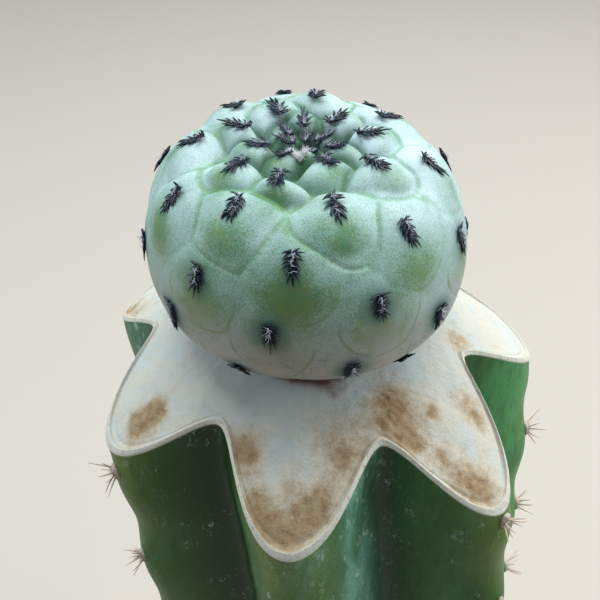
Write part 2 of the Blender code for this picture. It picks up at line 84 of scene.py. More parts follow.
def start_finish(name):
    """A new material, its node tree and its surface shader."""
    finish = bpy.data.materials.new(name)
    finish.use_nodes = True
    return finish, finish.node_tree, finish.node_tree.nodes["Principled BSDF"]


def feed(tree, socket, value):
    """Set an input to a value, or link it to another node's output."""
    if isinstance(value, bpy.types.NodeSocket):
        tree.links.new(value, socket)
    elif socket.type == "RGBA":
        socket.default_value = (*value, 1)
    else:
        socket.default_value = value


def speckle(tree, grain, detail=3, roughness=0.6, stretch=(1, 1, 1), shift=0):
    """Noise from 0 to 1 on the piece's own coordinates, with lumps about one grain wide, in metres."""
    place = tree.nodes.new("ShaderNodeTexCoord")
    scale = tree.nodes.new("ShaderNodeMapping")
    scale.inputs["Scale"].default_value = [share / grain for share in stretch]
    scale.inputs["Location"].default_value = (shift, shift, shift)
    tree.links.new(place.outputs["Object"], scale.inputs["Vector"])
    noise = tree.nodes.new("ShaderNodeTexNoise")
    noise.inputs["Scale"].default_value = 1
    noise.inputs["Detail"].default_value = detail
    noise.inputs["Roughness"].default_value = roughness
    tree.links.new(scale.outputs["Vector"], noise.inputs["Vector"])
    return noise.outputs["Fac"]


def tint(tree, share, first, second):
    """The first colour where share is 0 and the second where it is 1."""
    node = tree.nodes.new("ShaderNodeMix")
    node.data_type = "RGBA"
    feed(tree, node.inputs[0], share)
    feed(tree, node.inputs[6], first)
    feed(tree, node.inputs[7], second)
    return node.outputs[2]


def floor_finish():
    """Pale matt plaster with the faintest cloudiness."""
    finish, tree, shader = start_finish("pale_floor")
    dusk = tuple(0.94 * part for part in PALE_FLOOR)
    feed(tree, shader.inputs["Base Color"], tint(tree, speckle(tree, 0.4), PALE_FLOOR, dusk))
    shader.inputs["Roughness"].default_value = 0.95
    shader.inputs["Specular IOR Level"].default_value = 0.1
    return finish


floor_mesh = bpy.data.meshes.new("floor")
corners = [(-1, -1, 0), (1, -1, 0), (1, 1, 0), (-1, 1, 0)]
floor_mesh.from_pydata(np.array(corners) * FLOOR_HALF, [], [(0, 1, 2, 3)])
floor_mesh.materials.append(floor_finish())
floor = bpy.data.objects.new("floor", floor_mesh)
bpy.context.scene.collection.objects.link(floor)

soft_light("key_lamp", (0.36, 0.30, 0.66), 0.5, 3.1, KEY_LIGHT)
soft_light("top_lamp", (-0.12, 0.20, 0.91), 0.6, 5.9, TOP_LIGHT)
soft_light("right_lamp", (0.64, -0.04, 0.45), 0.4, 2.45, TOP_LIGHT)
soft_light("left_lamp", (-0.64, 0.04, 0.45), 0.4, 1.85, TOP_LIGHT)

world = bpy.data.worlds.new("room")
world.use_nodes = True
world.node_tree.nodes["Background"].inputs["Color"].default_value = (0.80, 0.88, 1.0, 1)
world.node_tree.nodes["Background"].inputs["Strength"].default_value = 0.13
bpy.context.scene.world = world
bpy.context.scene.view_settings.view_transform = "Standard"

ahead = Vector((
    math.sin(VIEW_YAW) * math.cos(VIEW_PITCH),
    math.cos(VIEW_YAW) * math.cos(VIEW_PITCH),
    -math.sin(VIEW_PITCH)))
stand = Vector((0, -math.cos(VIEW_ELEVATION), math.sin(VIEW_ELEVATION))) * VIEW_DISTANCE
stand.z += CUT_LEVEL
camera_data = bpy.data.cameras.new("camera")
camera_data.lens = LENS
camera_data.sensor_width = SENSOR
camera_data.clip_start = 1 * MM
camera = bpy.data.objects.new("camera", camera_data)
camera.matrix_world = aimed(stand, stand + ahead) @ Matrix.Rotation(VIEW_ROLL, 4, "Z")
bpy.context.scene.collection.objects.link(camera)
bpy.context.scene.camera = camera


# The pot: unglazed red clay, turned on a wheel with a banded rim and a drain hole, then fired. Lime from
# the water has come through the wall and dried on it.
POT_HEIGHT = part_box("pot")[1].z
POT_RIM_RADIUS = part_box("pot")[1].x
POT_FOOT_RADIUS = 30 * MM
POT_BAND_HEIGHT = 19 * MM
POT_BAND_STEP = 2.2 * MM
POT_BAND_TAPER = 1.2 * MM          # the band is this much narrower at its lower edge
POT_WALL = 4 * MM
POT_FLOOR = 6 * MM
DRAIN_RADIUS = 6 * MM
POT_EDGE = 1.1 * MM
POT_STEPS = 192
EDGE_POINTS = 5
CLAY = (0.47, 0.20, 0.105)
PALE_CLAY = (0.60, 0.33, 0.21)
DAMP_CLAY = (0.30, 0.115, 0.06)
LIME = (0.72, 0.66, 0.58)


def rounded_loop(corners, radius, count):
    """A closed line with each corner rounded by a short quadratic curve."""
    corner = np.array(corners)
    before = np.roll(corner, 1, axis=0) - corner
    after = np.roll(corner, -1, axis=0) - corner
    reach = np.array([np.hypot(*before.T), np.hypot(*after.T)])
    cut = np.minimum(radius, 0.45 * reach)
    start = corner + before * (cut[0] / reach[0])[:, None]
    end = corner + after * (cut[1] / reach[1])[:, None]
    share = np.linspace(0, 1, count)[None, :, None]
    curve = (1 - share) ** 2 * start[:, None] + 2 * share * (1 - share) * corner[:, None]
    curve = curve + share ** 2 * end[:, None]
    return curve.reshape(-1, 2)


def pot_section():
    """Corners of the pot's wall as (radius, height): down the outside, under the foot and up the inside."""
    band_low = POT_HEIGHT - POT_BAND_HEIGHT
    inner_top = POT_RIM_RADIUS - POT_WALL
    inner_low = POT_FOOT_RADIUS - POT_WALL + 1 * MM
    return [
        (POT_RIM_RADIUS, POT_HEIGHT),
        (POT_RIM_RADIUS - POT_BAND_TAPER, band_low),
        (POT_RIM_RADIUS - POT_BAND_TAPER - POT_BAND_STEP, band_low - 0.5 * MM),
        (POT_FOOT_RADIUS, 0),
        (DRAIN_RADIUS, 0),
        (DRAIN_RADIUS, POT_FLOOR),
        (inner_low, POT_FLOOR),
        (inner_top, POT_HEIGHT),
    ]


def turned(section, steps):
    """A section of (radius, height) points carried round Z, as rows of rings."""
    angle = np.linspace(0, 2 * math.pi, steps, endpoint=False)
    radius, height = section[:, :1], section[:, 1:]
    return np.stack([radius * np.cos(angle), radius * np.sin(angle), height + 0 * angle], -1)


def ring_mesh(name, rings, loop, marks):
    """One closed mesh from a grid of points whose rows are rings that run anticlockwise, seen from above.

    Neighbouring rings are joined by squares. With loop the last ring joins the first, and without it each
    end ring is closed by a fan round its middle. Marks hold one number for each point, for a finish to read.
    """
    rows, steps = rings.shape[:2]
    row = np.arange(rows if loop else rows - 1)[:, None]
    step = np.arange(steps)[None]
    upper, lower = row * steps, (row + 1) % rows * steps
    beside = (step + 1) % steps
    squares = np.stack([upper + step, lower + step, lower + beside, upper + beside], -1).reshape(-1, 4)
    points = rings.reshape(-1, 3)
    faces = squares.tolist()
    if not loop:
        first, last = rows * steps, rows * steps + 1
        points = np.concatenate([points, rings[[0, -1]].mean(axis=1)])
        around, beside = np.arange(steps), (np.arange(steps) + 1) % steps
        foot = (rows - 1) * steps
        faces += np.stack([0 * around + first, around, beside], -1).tolist()
        faces += np.stack([0 * around + last, foot + beside, foot + around], -1).tolist()
    mesh = bpy.data.meshes.new(name)
    mesh.from_pydata(points, [], faces)
    for mark, values in marks.items():
        ends = [] if loop else values[[0, -1]].mean(axis=1)
        numbers = np.concatenate([values.ravel(), ends]).astype(np.float32)
        mesh.attributes.new(mark, "FLOAT", "POINT").data.foreach_set("value", numbers)
    return mesh


def add_piece(name, mesh, finish, slot, *nodes):
    """A smooth piece of the plant that stands for nodes of the frame."""
    mesh.materials.append(finish)
    mesh.shade_smooth()
    piece = bpy.data.objects.new(name, mesh)
    bpy.context.scene.collection.objects.link(piece)
    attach(piece, "root")
    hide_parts(*nodes)
    return piece


def between(tree, value, low, high):
    """A smooth step from 0 at low to 1 at high. Low may be the larger one."""
    step = tree.nodes.new("ShaderNodeMapRange")
    step.interpolation_type = "SMOOTHSTEP"
    flipped = low > high
    feed(tree, step.inputs["Value"], value)
    step.inputs["From Min"].default_value = min(low, high)
    step.inputs["From Max"].default_value = max(low, high)
    step.inputs["To Min"].default_value = 1 if flipped else 0
    step.inputs["To Max"].default_value = 0 if flipped else 1
    return step.outputs["Result"]


def calc(tree, kind, first, second=0):
    """Arithmetic on two numbers, or on the first alone."""
    node = tree.nodes.new("ShaderNodeMath")
    node.operation = kind
    feed(tree, node.inputs[0], first)
    feed(tree, node.inputs[1], second)
    return node.outputs[0]


def raised(tree, shader, height, depth):
    """Low relief from a height of 0 to 1, depth metres deep."""
    bump = tree.nodes.new("ShaderNodeBump")
    bump.inputs["Distance"].default_value = depth
    tree.links.new(height, bump.inputs["Height"])
    tree.links.new(bump.outputs["Normal"], shader.inputs["Normal"])


def clay_finish():
    """Fired clay: cloudy red, damp and darker at the foot, with pale lime in broken bands and fine grog."""
    finish, tree, shader = start_finish("unglazed_clay")
    height = tree.nodes.new("ShaderNodeSeparateXYZ")
    place = tree.nodes.new("ShaderNodeTexCoord")
    tree.links.new(place.outputs["Object"], height.inputs[0])
    level = height.outputs["Z"]
    cloud = speckle(tree, 14 * MM, 5)
    colour = tint(tree, between(tree, cloud, 0.35, 0.7), CLAY, PALE_CLAY)
    damp = calc(
        tree, "MULTIPLY", between(tree, level, 0.034, 0.004),
        between(tree, speckle(tree, 9 * MM, 4, shift=3), 0.3, 0.6))
    colour = tint(tree, calc(tree, "MULTIPLY", damp, 0.55), colour, DAMP_CLAY)
    tide = calc(tree, "MULTIPLY", between(tree, level, 0.020, 0.040), between(tree, level, 0.066, 0.046))
    crust = between(tree, speckle(tree, 5 * MM, 6, 0.7, (1, 1, 1.6), 7), 0.52, 0.68)
    rim_crust = calc(
        tree, "MULTIPLY", between(tree, level, 0.071, 0.078),
        between(tree, speckle(tree, 4 * MM, 5, shift=11), 0.45, 0.6))
    lime = calc(tree, "MAXIMUM", calc(tree, "MULTIPLY", tide, crust), rim_crust)
    colour = tint(tree, calc(tree, "MULTIPLY", lime, 0.55), colour, LIME)
    grog = between(tree, speckle(tree, 0.7 * MM, 2), 0.62, 0.72)
    colour = tint(tree, calc(tree, "MULTIPLY", grog, 0.25), colour, PALE_CLAY)
    feed(tree, shader.inputs["Base Color"], colour)
    feed(tree, shader.inputs["Roughness"], calc(tree, "ADD", calc(tree, "MULTIPLY", lime, 0.1), 0.82))
    wheel = speckle(tree, 1.4 * MM, 2, 0.5, (0.02, 0.02, 1), 5)
    grain = calc(tree, "ADD", speckle(tree, 0.45 * MM, 3), calc(tree, "MULTIPLY", wheel, 1.2))
    raised(tree, shader, grain, 0.16 * MM)
    return finish


pot_rings = turned(rounded_loop(pot_section(), POT_EDGE, EDGE_POINTS), POT_STEPS)
pot_mesh = ring_mesh("pot_shell", pot_rings, True, {})
add_piece("pot_shell", pot_mesh, clay_finish(), "clay", "pot")


# The stock: a seven-ribbed column of green flesh under a waxy skin, rooted in the pot and cut across to
# carry the graft. The cut is bevelled over the rib tips, and it has dried white with a raised rim.
RIBS = 7
STEPS_PER_RIB = 56
STOCK_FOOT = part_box("stock")[0].z
SOIL_LEVEL = 70 * MM
FIRST_RIB = math.radians(160)
RIB_TURN = [-1.5, -1, 1.5, 1.5, 0.5, 1, -1]                 # degrees off the even spacing
RIB_RADIUS = [26.9, 26.9, 27.7, 28.9, 27.4, 27.8, 27.2]      # mm, rib tips
FURROW_TURN = [-5, 0, 3, 2, -1.5, 1, -1]                    # degrees off the even spacing
FURROW_RADIUS = [19.4, 18.7, 19.3, 18.0, 18.5, 18.9, 18.6]  # mm, bottom of the furrows
RIB_ROUNDNESS = 1.8
BEVEL_START = 10.4 * MM
BEVEL_REACH = 27.6 * MM
BEVEL_DROP = 10.6 * MM
BEVEL_POWER = 1.62
TIP_LEVEL = CUT_LEVEL - BEVEL_DROP
CALLUS_RIM = 0.35 * MM
STOCK_LEAN = 5 * MM
LEAN_DEPTH = 45 * MM
RIB_SWELL = 0.015
SWELL_DEPTH = 20 * MM
FOOT_TAPER = 30 * MM
FOOT_NARROWING = 0.28
AREOLE_PITCH = 17 * MM
AREOLE_DEPTH = [14, 3.5, 12, 3, 14.5, 11, 16]                   # mm from each rib tip to its first areole
AREOLE_SWELL = 0.35 * MM
AREOLE_WAVE_SHIFT = 0.12
LUMP_WAVES = 28                    # plane waves in one soft relief
LUMP_SUM = 6                       # their sum is divided by this
TAN_PATCHES = [                    # (x, y, width) in mm and strength: where the cut has dried brown
    (-19.1, -13.1, 2.1, 0.9), (-19.7, -12.5, 1.1, 0.67), (-17.1, -12.6, 1, 0.56),
    (-7.5, -18.7, 2.1, 0.9), (-6.6, -19.1, 0.8, 0.56), (-6.1, -23.4, 1.9, 0.9),
    (-4.4, -25.4, 1.9, 0.9), (-2.5, -26.3, 1.3, 0.5), (-1.3, -24.2, 1.8, 0.65),
    (0.9, -23.3, 1.5, 0.78), (-0.2, -25.3, 1.6, 0.45), (2.8, -19.1, 3.4, 0.62),
    (3.1, -19.7, 0.9, 0.45), (9.2, -15.3, 3.5, 0.73), (7.6, -16.1, 0.9, 0.56), (9.7, -16.9, 0.9, 0.78),
    (11.1, -17.1, 0.8, 0.78), (12.9, -13.7, 0.9, 0.67), (17.1, -11.5, 1.9, 0.62),
    (18.2, -12.6, 1.1, 0.56), (15.9, -19.4, 2.4, 0.78), (18.6, -19.1, 1.9, 0.78),
    (16.7, -3.5, 1.7, 0.67), (-22.3, 5.9, 1.8, 0.45), (19, -7.1, 1.9, 0.45), (7.5, 22, 2.5, 0.67),
    (-8.5, 20.5, 2, 0.67), (14.5, 15.5, 1.8, 0.56), (-24, 8.5, 1.5, 0.78), (-17.6, -11.6, 1.3, 0.55),
    (8, -13.6, 1.6, 0.6), (-2.4, -22.2, 0.9, 0.45), (13.6, -17.6, 1, 0.45)]
SAP_STAINS_AND_SHADE = [                     # (x, y, width) in mm and strength: dried red sap of the graft, painted darker as shade under the scion
    (-4.2, -11.3, 0.5, 0.5), (-3.5, -11.5, 0.6, 0.5), (-2.8, -11.7, 0.7, 0.5), (-2.1, -11.8, 0.8, 0.5),
    (-1.4, -11.9, 0.8, 0.5), (-0.7, -11.9, 0.9, 0.5), (0, -11.9, 0.9, 0.5), (0.7, -11.9, 0.8, 0.5),
    (1.4, -11.8, 0.8, 0.5), (2.1, -11.7, 0.7, 0.5), (2.8, -11.5, 0.6, 0.5), (0.7, -12.9, 0.9, 0.35),
    (1.9, -13.1, 0.9, 0.45), (3.1, -12.8, 0.8, 0.35), (2.3, -13.9, 0.6, 0.35), (5.3, -12.4, 0.8, 0.4)]
DRY_FLESH = (0.68, 0.68, 0.62)
COOL_FLESH = (0.57, 0.655, 0.655)
CREAM_FLESH = (0.69, 0.62, 0.49)
TAN_FLESH = (0.42, 0.295, 0.16)
BROWN_FLESH = (0.29, 0.16, 0.068)
RIM_FLESH = (0.73, 0.71, 0.61)
RED_SAP = (0.16, 0.035, 0.03)
WAXY_SIDES = [(2.28, 0.2, 1), (0.32, 0.2, 0.6), (5.3, 0.2, 0.7), (6.3, 0.18, 0.6)]    # rib, width, strength
# painted light: bright green on the sides of some ribs, mostly the right-hand ones, for light through the
# flesh; rib, width, strength
PAINTED_LIGHT_SIDES = [(3.78, 0.2, 1), (4.2, 0.2, 0.7), (2.7, 0.12, 0.3), (5.8, 0.15, 0.6)]
# the darkest green: the veins' own tone, and painted shade in the rib furrows
VEIN_AND_FURROW_SHADE_GREEN = (0.006, 0.044, 0.005)
RIB_GREEN = (0.032, 0.116, 0.013)
TIP_GREEN = (0.13, 0.21, 0.018)
# painted light: the bright green of those lit rib sides
PAINTED_LIGHT_GREEN = (0.08, 0.40, 0.11)
BLUE_WAX = (0.17, 0.40, 0.29)
SCURF = (0.50, 0.64, 0.52)


def rib_angles():
    """Azimuths of the rib tips and of the furrow after each one."""
    step = 2 * math.pi / RIBS
    count = np.arange(RIBS)
    tips = FIRST_RIB + step * count + np.radians(RIB_TURN)
    furrows = FIRST_RIB + step * (count + 0.5) + np.radians(FURROW_TURN)
    return tips, furrows


def stock_section(turn):
    """Azimuth, radius and crest weight of the ribbed section at a place counted in ribs.

    Whole numbers are rib tips and halves are furrows. From a furrow to a tip the radius rises with a power
    of the sine, and so does the weight, from 0 to 1.
    """
    tips, furrows = rib_angles()
    rib = np.floor(turn).astype(int)
    part = turn - rib
    near_tip = np.where(part < 0.5, rib, rib + 1)
    share = np.abs(1 - 2 * part)
    tip_angle = tips[near_tip % RIBS] + 2 * math.pi * (near_tip // RIBS)
    tip_radius = np.array(RIB_RADIUS)[near_tip % RIBS] * MM
    furrow_radius = np.array(FURROW_RADIUS)[rib % RIBS] * MM
    crest = np.sin(0.5 * math.pi * share) ** RIB_ROUNDNESS
    azimuth = furrows[rib % RIBS] + (tip_angle - furrows[rib % RIBS]) * share
    return azimuth, furrow_radius + (tip_radius - furrow_radius) * crest, crest


def bevel_fall(radius):
    """How far the cut lies below its middle: a power of the distance past the flat part."""
    share = np.maximum(radius - BEVEL_START, 0) / (BEVEL_REACH - BEVEL_START)
    return BEVEL_DROP * share ** BEVEL_POWER


def stock_offset(level):
    """Sideways place of the stock's axis, which settles with depth."""
    return STOCK_LEAN * (1 - np.exp(-np.maximum(TIP_LEVEL - level, 0) / LEAN_DEPTH))


def body_factor(level):
    """Widening of the ribs below the cut, and the sine by which the buried end narrows."""
    swell = 1 + RIB_SWELL * (1 - np.exp(-np.maximum(TIP_LEVEL - level, 0) / SWELL_DEPTH))
    foot = np.clip((level - STOCK_FOOT) / FOOT_TAPER, 0, 1)
    return swell * (1 - FOOT_NARROWING * (1 - np.sin(0.5 * math.pi * foot)))


def stock_side(turn, level):
    """The ribbed side: the section widened by level, with a cosine swelling under each areole."""
    azimuth, radius, crest = stock_section(turn)
    depth = TIP_LEVEL - level
    first = np.array(AREOLE_DEPTH)[np.round(turn).astype(int) % RIBS] * MM
    wave = np.cos(2 * math.pi * ((depth - first) / AREOLE_PITCH - AREOLE_WAVE_SHIFT))
    wave = wave * np.clip(depth / (0.35 * AREOLE_PITCH), 0, 1)
    radius = radius * body_factor(level) + AREOLE_SWELL * crest ** 2 * wave
    return np.stack([radius * np.cos(azimuth) + stock_offset(level), radius * np.sin(azimuth), level], -1)


def lumps(points, size, seed):
    """Soft random relief from about -1 to 1: plane waves in all directions, two lumps long, added up."""
    draw = np.random.default_rng(seed)
    waves = draw.normal(size=(LUMP_WAVES, 3))
    stretch = draw.uniform(0.7, 1.4, (LUMP_WAVES, 1)) * 2 * math.pi / (2 * size)
    waves *= stretch / np.linalg.norm(waves, axis=1)[:, None]
    phase = draw.uniform(0, 2 * math.pi, LUMP_WAVES)
    return np.cos(points @ waves.T + phase).sum(axis=-1) / LUMP_SUM


def spots(x, y, places, strengths):
    """A sum of round bell shapes on the cut, each with its place and width in mm and its strength."""
    bells = [
        strength * np.exp(-((x / MM - px) ** 2 + (y / MM - py) ** 2) / width ** 2)
        for (px, py, width), strength in zip(places, strengths)]
    return sum(bells)


def stock_rings():
    """Rings of the stock from the middle of the cut to the foot, and the marks that its finishes read.

    On the cut a ring is the section shrunk by a share, and it falls with the bevel. The dried rim is a
    narrow bell of height at the edge, with a shallow groove inside it. Below the edge a ring is the side.
    """
    turn = np.arange(RIBS * STEPS_PER_RIB) / STEPS_PER_RIB
    azimuth, radius, crest = stock_section(turn)
    edge_level = CUT_LEVEL - bevel_fall(radius)
    share = np.concatenate([np.linspace(0.004, 0.92, 88), np.linspace(0.925, 1, 26)])[:, None]
    reach = share * radius
    x, y = reach * np.cos(azimuth), reach * np.sin(azimuth)
    tan = spots(x, y, [patch[:3] for patch in TAN_PATCHES], [patch[3] for patch in TAN_PATCHES])
    # Partly dried red sap, partly painted shade under the scion's front.
    red = spots(x, y, [stain[:3] for stain in SAP_STAINS_AND_SHADE], [stain[3] for stain in SAP_STAINS_AND_SHADE])
    rim = CALLUS_RIM * np.exp(-((share - 0.987) / 0.010) ** 2)
    groove = 0.12 * MM * np.exp(-((share - 0.958) / 0.008) ** 2)
    flat = np.stack([x, y, 0 * x], -1)
    fibre = 0.03 * MM * lumps(flat, 0.6 * MM, 1) + 0.12 * MM * lumps(flat, 2.6 * MM, 2)
    rough = 0.10 * MM * np.clip(tan, 0, 1) * (lumps(flat, 0.9 * MM, 3) + 0.6 * lumps(flat, 0.45 * MM, 5))
    fade = np.clip(share / 0.2, 0, 1) * np.clip((0.995 - share) / 0.03, 0.1, 1)
    worn = (fibre + rough - 0.1 * MM * np.clip(tan, 0, 1)) * fade
    level = CUT_LEVEL - bevel_fall(reach) + rim - groove + worn
    face = np.stack([x, y, level], -1)

    first_drops = [0.1, 0.22, 0.36, 0.5, 0.65, 0.85, 1.1]
    drop = np.concatenate([first_drops, 1.1 + 0.75 * np.arange(1, 118)])[:, None] * MM
    buried = np.linspace(0.03, 1, 16)[:, None]
    lowest = edge_level - drop[-1]
    side_level = np.concatenate([edge_level - drop, lowest + (STOCK_FOOT - lowest) * buried])
    side = stock_side(turn + 0 * side_level, side_level)
    outward = np.stack([np.cos(azimuth), np.sin(azimuth), 0 * azimuth], -1)
    below = edge_level - side_level
    bead = 0.08 * MM * np.exp(-(below / (0.3 * MM)) ** 2)
    side += outward * (bead + 0.06 * MM * lumps(side, 5 * MM, 4))[..., None]

    inset = np.concatenate([(1 - share) * radius, 0 * side_level]) / MM

    def sided(places):
        """A sum of bell shapes across the ribs, each with its place and width in ribs and its strength."""
        apart = [(turn - place + RIBS / 2) % RIBS - RIBS / 2 for place, _, _ in places]
        bells = [strength * np.exp(-(gap / width) ** 2) for gap, (_, width, strength) in zip(apart, places)]
        return np.concatenate([0 * reach, sum(bells) + 0 * side_level])

    marks = {
        "waxy": sided(WAXY_SIDES),
        "lit_side_green": sided(PAINTED_LIGHT_SIDES),
        "inset": inset,
        "below": np.concatenate([0 * reach, below]) / MM,
        "tan": np.concatenate([tan, 0 * side_level]),
        "red": np.concatenate([red, 0 * side_level]),
        "crest": np.concatenate([crest + 0 * reach, crest + 0 * side_level]),
        "reach": np.concatenate([reach, radius + 0 * side_level]) / MM,
    }
    return np.concatenate([face, side]), marks, len(share)


def read(tree, mark):
    """A mark of the piece, as the finish sees it."""
    node = tree.nodes.new("ShaderNodeAttribute")
    node.attribute_name = mark
    return node.outputs["Fac"]


def rim_colour(tree):
    """Dried callus: off-white with brown specks."""
    return tint(tree, between(tree, speckle(tree, 0.5 * MM, 4), 0.48, 0.85), RIM_FLESH, TAN_FLESH)


def cut_finish():
    """Dried cut flesh: chalky and fibrous, cool white in the middle, creamier outside, browned in patches."""
    finish, tree, shader = start_finish("dried_cut")
    cloud = speckle(tree, 3.5 * MM, 6, 0.7)
    colour = tint(tree, between(tree, cloud, 0.35, 0.65), COOL_FLESH, DRY_FLESH)
    broad = speckle(tree, 3 * MM, 5, 0.65, shift=5)
    outer = calc(
        tree, "MULTIPLY", between(tree, read(tree, "reach"), 12, 22), between(tree, broad, 0.3, 0.62))
    colour = tint(tree, calc(tree, "MULTIPLY", outer, 0.75), colour, CREAM_FLESH)
    grains = speckle(tree, 0.35 * MM, 4, 0.75, shift=2)
    colour = tint(tree, calc(tree, "MULTIPLY", between(tree, grains, 0.52, 0.34), 0.35), colour, CREAM_FLESH)
    warmed = calc(tree, "MULTIPLY", between(tree, read(tree, "tan"), 0.02, 0.5), 0.7)
    colour = tint(tree, warmed, colour, CREAM_FLESH)
    ragged = calc(tree, "MULTIPLY", calc(tree, "SUBTRACT", speckle(tree, 1.5 * MM, 7, 0.8), 0.5), 2.0)
    broken = calc(tree, "ADD", read(tree, "tan"), ragged)
    colour = tint(tree, calc(tree, "MULTIPLY", between(tree, broken, 0.02, 0.98), 0.95), colour, TAN_FLESH)
    pits = between(tree, speckle(tree, 1.1 * MM, 6, 0.7, shift=9), 0.40, 0.66)
    burnt = calc(tree, "MULTIPLY", between(tree, broken, 0.5, 1.15), pits)
    colour = tint(tree, calc(tree, "MULTIPLY", burnt, 0.8), colour, BROWN_FLESH)
    # Partly real, partly painted shade: dried red sap, dark where the scion's front overhangs the cut.
    dried = calc(
        tree, "MULTIPLY", read(tree, "red"), calc(tree, "ADD", calc(tree, "MULTIPLY", ragged, 0.6), 1))
    colour = tint(tree, calc(tree, "MULTIPLY", between(tree, dried, 0.15, 1.0), 0.9), colour, RED_SAP)
    inset = read(tree, "inset")
    # Painted shade: a brown line in the groove just inside the raised rim.
    rim_groove_shade = calc(tree, "MULTIPLY", between(tree, inset, 0.42, 0.58), between(tree, inset, 0.85, 0.62))
    colour = tint(tree, calc(tree, "MULTIPLY", rim_groove_shade, 0.22), colour, BROWN_FLESH)
    colour = tint(tree, between(tree, inset, 0.50, 0.34), colour, rim_colour(tree))
    feed(tree, shader.inputs["Base Color"], colour)
    shader.inputs["Roughness"].default_value = 0.8
    shader.inputs["Specular IOR Level"].default_value = 0.3
    shader.inputs["Subsurface Weight"].default_value = 0.12
    shader.inputs["Subsurface Radius"].default_value = (1, 0.8, 0.6)
    shader.inputs["Subsurface Scale"].default_value = 0.5 * MM
    fibres = calc(tree, "ADD", grains, calc(tree, "MULTIPLY", cloud, 0.8))
    raised(tree, shader, calc(tree, "SUBTRACT", fibres, calc(tree, "MULTIPLY", burnt, 0.5)), 0.10 * MM)
    return finish


def skin_finish():
    """Waxy green skin: painted shade in the furrows, yellow-green under the tips, blue bloom, pale scurf."""
    finish, tree, shader = start_finish("ribbed_skin")
    crest, below = read(tree, "crest"), read(tree, "below")
    cloud = speckle(tree, 6 * MM, 4, 0.6, (1, 1, 0.4))
    # Painted shade: the skin darkens from the crests down into the furrows.
    colour = tint(tree, between(tree, crest, 0.0, 0.75), VEIN_AND_FURROW_SHADE_GREEN, RIB_GREEN)
    ripe = calc(tree, "MULTIPLY", between(tree, crest, 0.6, 1.0), between(tree, below, 22, 0.5))
    colour = tint(tree, calc(tree, "MULTIPLY", ripe, 0.8), colour, TIP_GREEN)
    clouded = calc(tree, "ADD", calc(tree, "MULTIPLY", between(tree, cloud, 0.30, 0.60), 0.6), 0.4)
    # Painted light: bright green on the lit sides of the ribs, mostly the right-hand ones.
    lit_side_green = calc(tree, "MULTIPLY", read(tree, "lit_side_green"), clouded)
    colour = tint(tree, calc(tree, "MULTIPLY", lit_side_green, 0.8), colour, PAINTED_LIGHT_GREEN)
    waxy = calc(tree, "MULTIPLY", read(tree, "waxy"), clouded)
    wax = calc(tree, "MULTIPLY", between(tree, cloud, 0.40, 0.66), between(tree, crest, 0.05, 0.5))
    wax = calc(tree, "ADD", calc(tree, "MULTIPLY", wax, 0.25), calc(tree, "MULTIPLY", waxy, 0.7))
    colour = tint(tree, between(tree, wax, 0, 1), colour, BLUE_WAX)
    veins = speckle(tree, 0.9 * MM, 5, 0.7, (1, 1, 0.25), 6)
    colour = tint(tree, calc(tree, "MULTIPLY", between(tree, veins, 0.55, 0.3), 0.4), colour, VEIN_AND_FURROW_SHADE_GREEN)
    flecks = between(tree, speckle(tree, 2 * MM, 5, 0.8, (1.4, 1.4, 0.7), 4), 0.565, 0.625)
    fine = between(tree, speckle(tree, 0.5 * MM, 3, 0.7, (1, 1, 0.6), 8), 0.60, 0.68)
    zone = calc(tree, "MAXIMUM", between(tree, speckle(tree, 7 * MM, 3, shift=2), 0.50, 0.68), waxy)
    scurf = calc(tree, "MULTIPLY", calc(tree, "MAXIMUM", flecks, calc(tree, "MULTIPLY", fine, 0.6)), zone)
    colour = tint(tree, calc(tree, "MULTIPLY", scurf, 0.8), colour, SCURF)
    colour = tint(tree, between(tree, below, 0.32, 0.14), colour, rim_colour(tree))
    feed(tree, shader.inputs["Base Color"], colour)
    gloss = calc(tree, "ADD", calc(tree, "MULTIPLY", calc(tree, "MAXIMUM", wax, scurf), 0.2), 0.42)
    feed(tree, shader.inputs["Roughness"], gloss)
    shader.inputs["Specular IOR Level"].default_value = 0.2
    shader.inputs["Subsurface Weight"].default_value = 0.12
    shader.inputs["Subsurface Radius"].default_value = (0.5, 1, 0.4)
    shader.inputs["Subsurface Scale"].default_value = 1 * MM
    raised(tree, shader, calc(tree, "ADD", veins, scurf), 0.05 * MM)
    return finish


stock_points, stock_marks, cut_rows = stock_rings()
stock_mesh = ring_mesh("stock_body", stock_points, False, stock_marks)
stock_body = add_piece("stock_body", stock_mesh, cut_finish(), "stock_skin", "stock")
stock_mesh.materials.append(skin_finish())
steps = RIBS * STEPS_PER_RIB
face_count = len(stock_mesh.polygons)
worn = np.zeros(face_count, np.int32)
worn[(cut_rows - 1) * steps:(len(stock_points) - 1) * steps] = 1
worn[face_count - steps:] = 1
stock_mesh.polygons.foreach_set("material_index", worn)


# The stock's areoles: cushions of grey-brown felt along each rib's crest, each with a few short stiff
# spines that grow out of it. Spines and felt are the plant's own, one with the skin.
STOCK_SPINE = 3.2 * MM
STOCK_SPINE_RADIUS = 0.13 * MM
STOCK_SPINES_EACH = 7
FELT_RADII = (0.85 * MM, 1.3 * MM, 0.55 * MM)               # across, along the rib, out of the skin
FELT_HAIRS = 44
HAIR_RADIUS = 0.03 * MM
FELT_GREY = (0.40, 0.31, 0.23)
FELT_PALE = (0.80, 0.74, 0.64)
STRAW = (0.76, 0.56, 0.46)
RUST = (0.20, 0.08, 0.06)


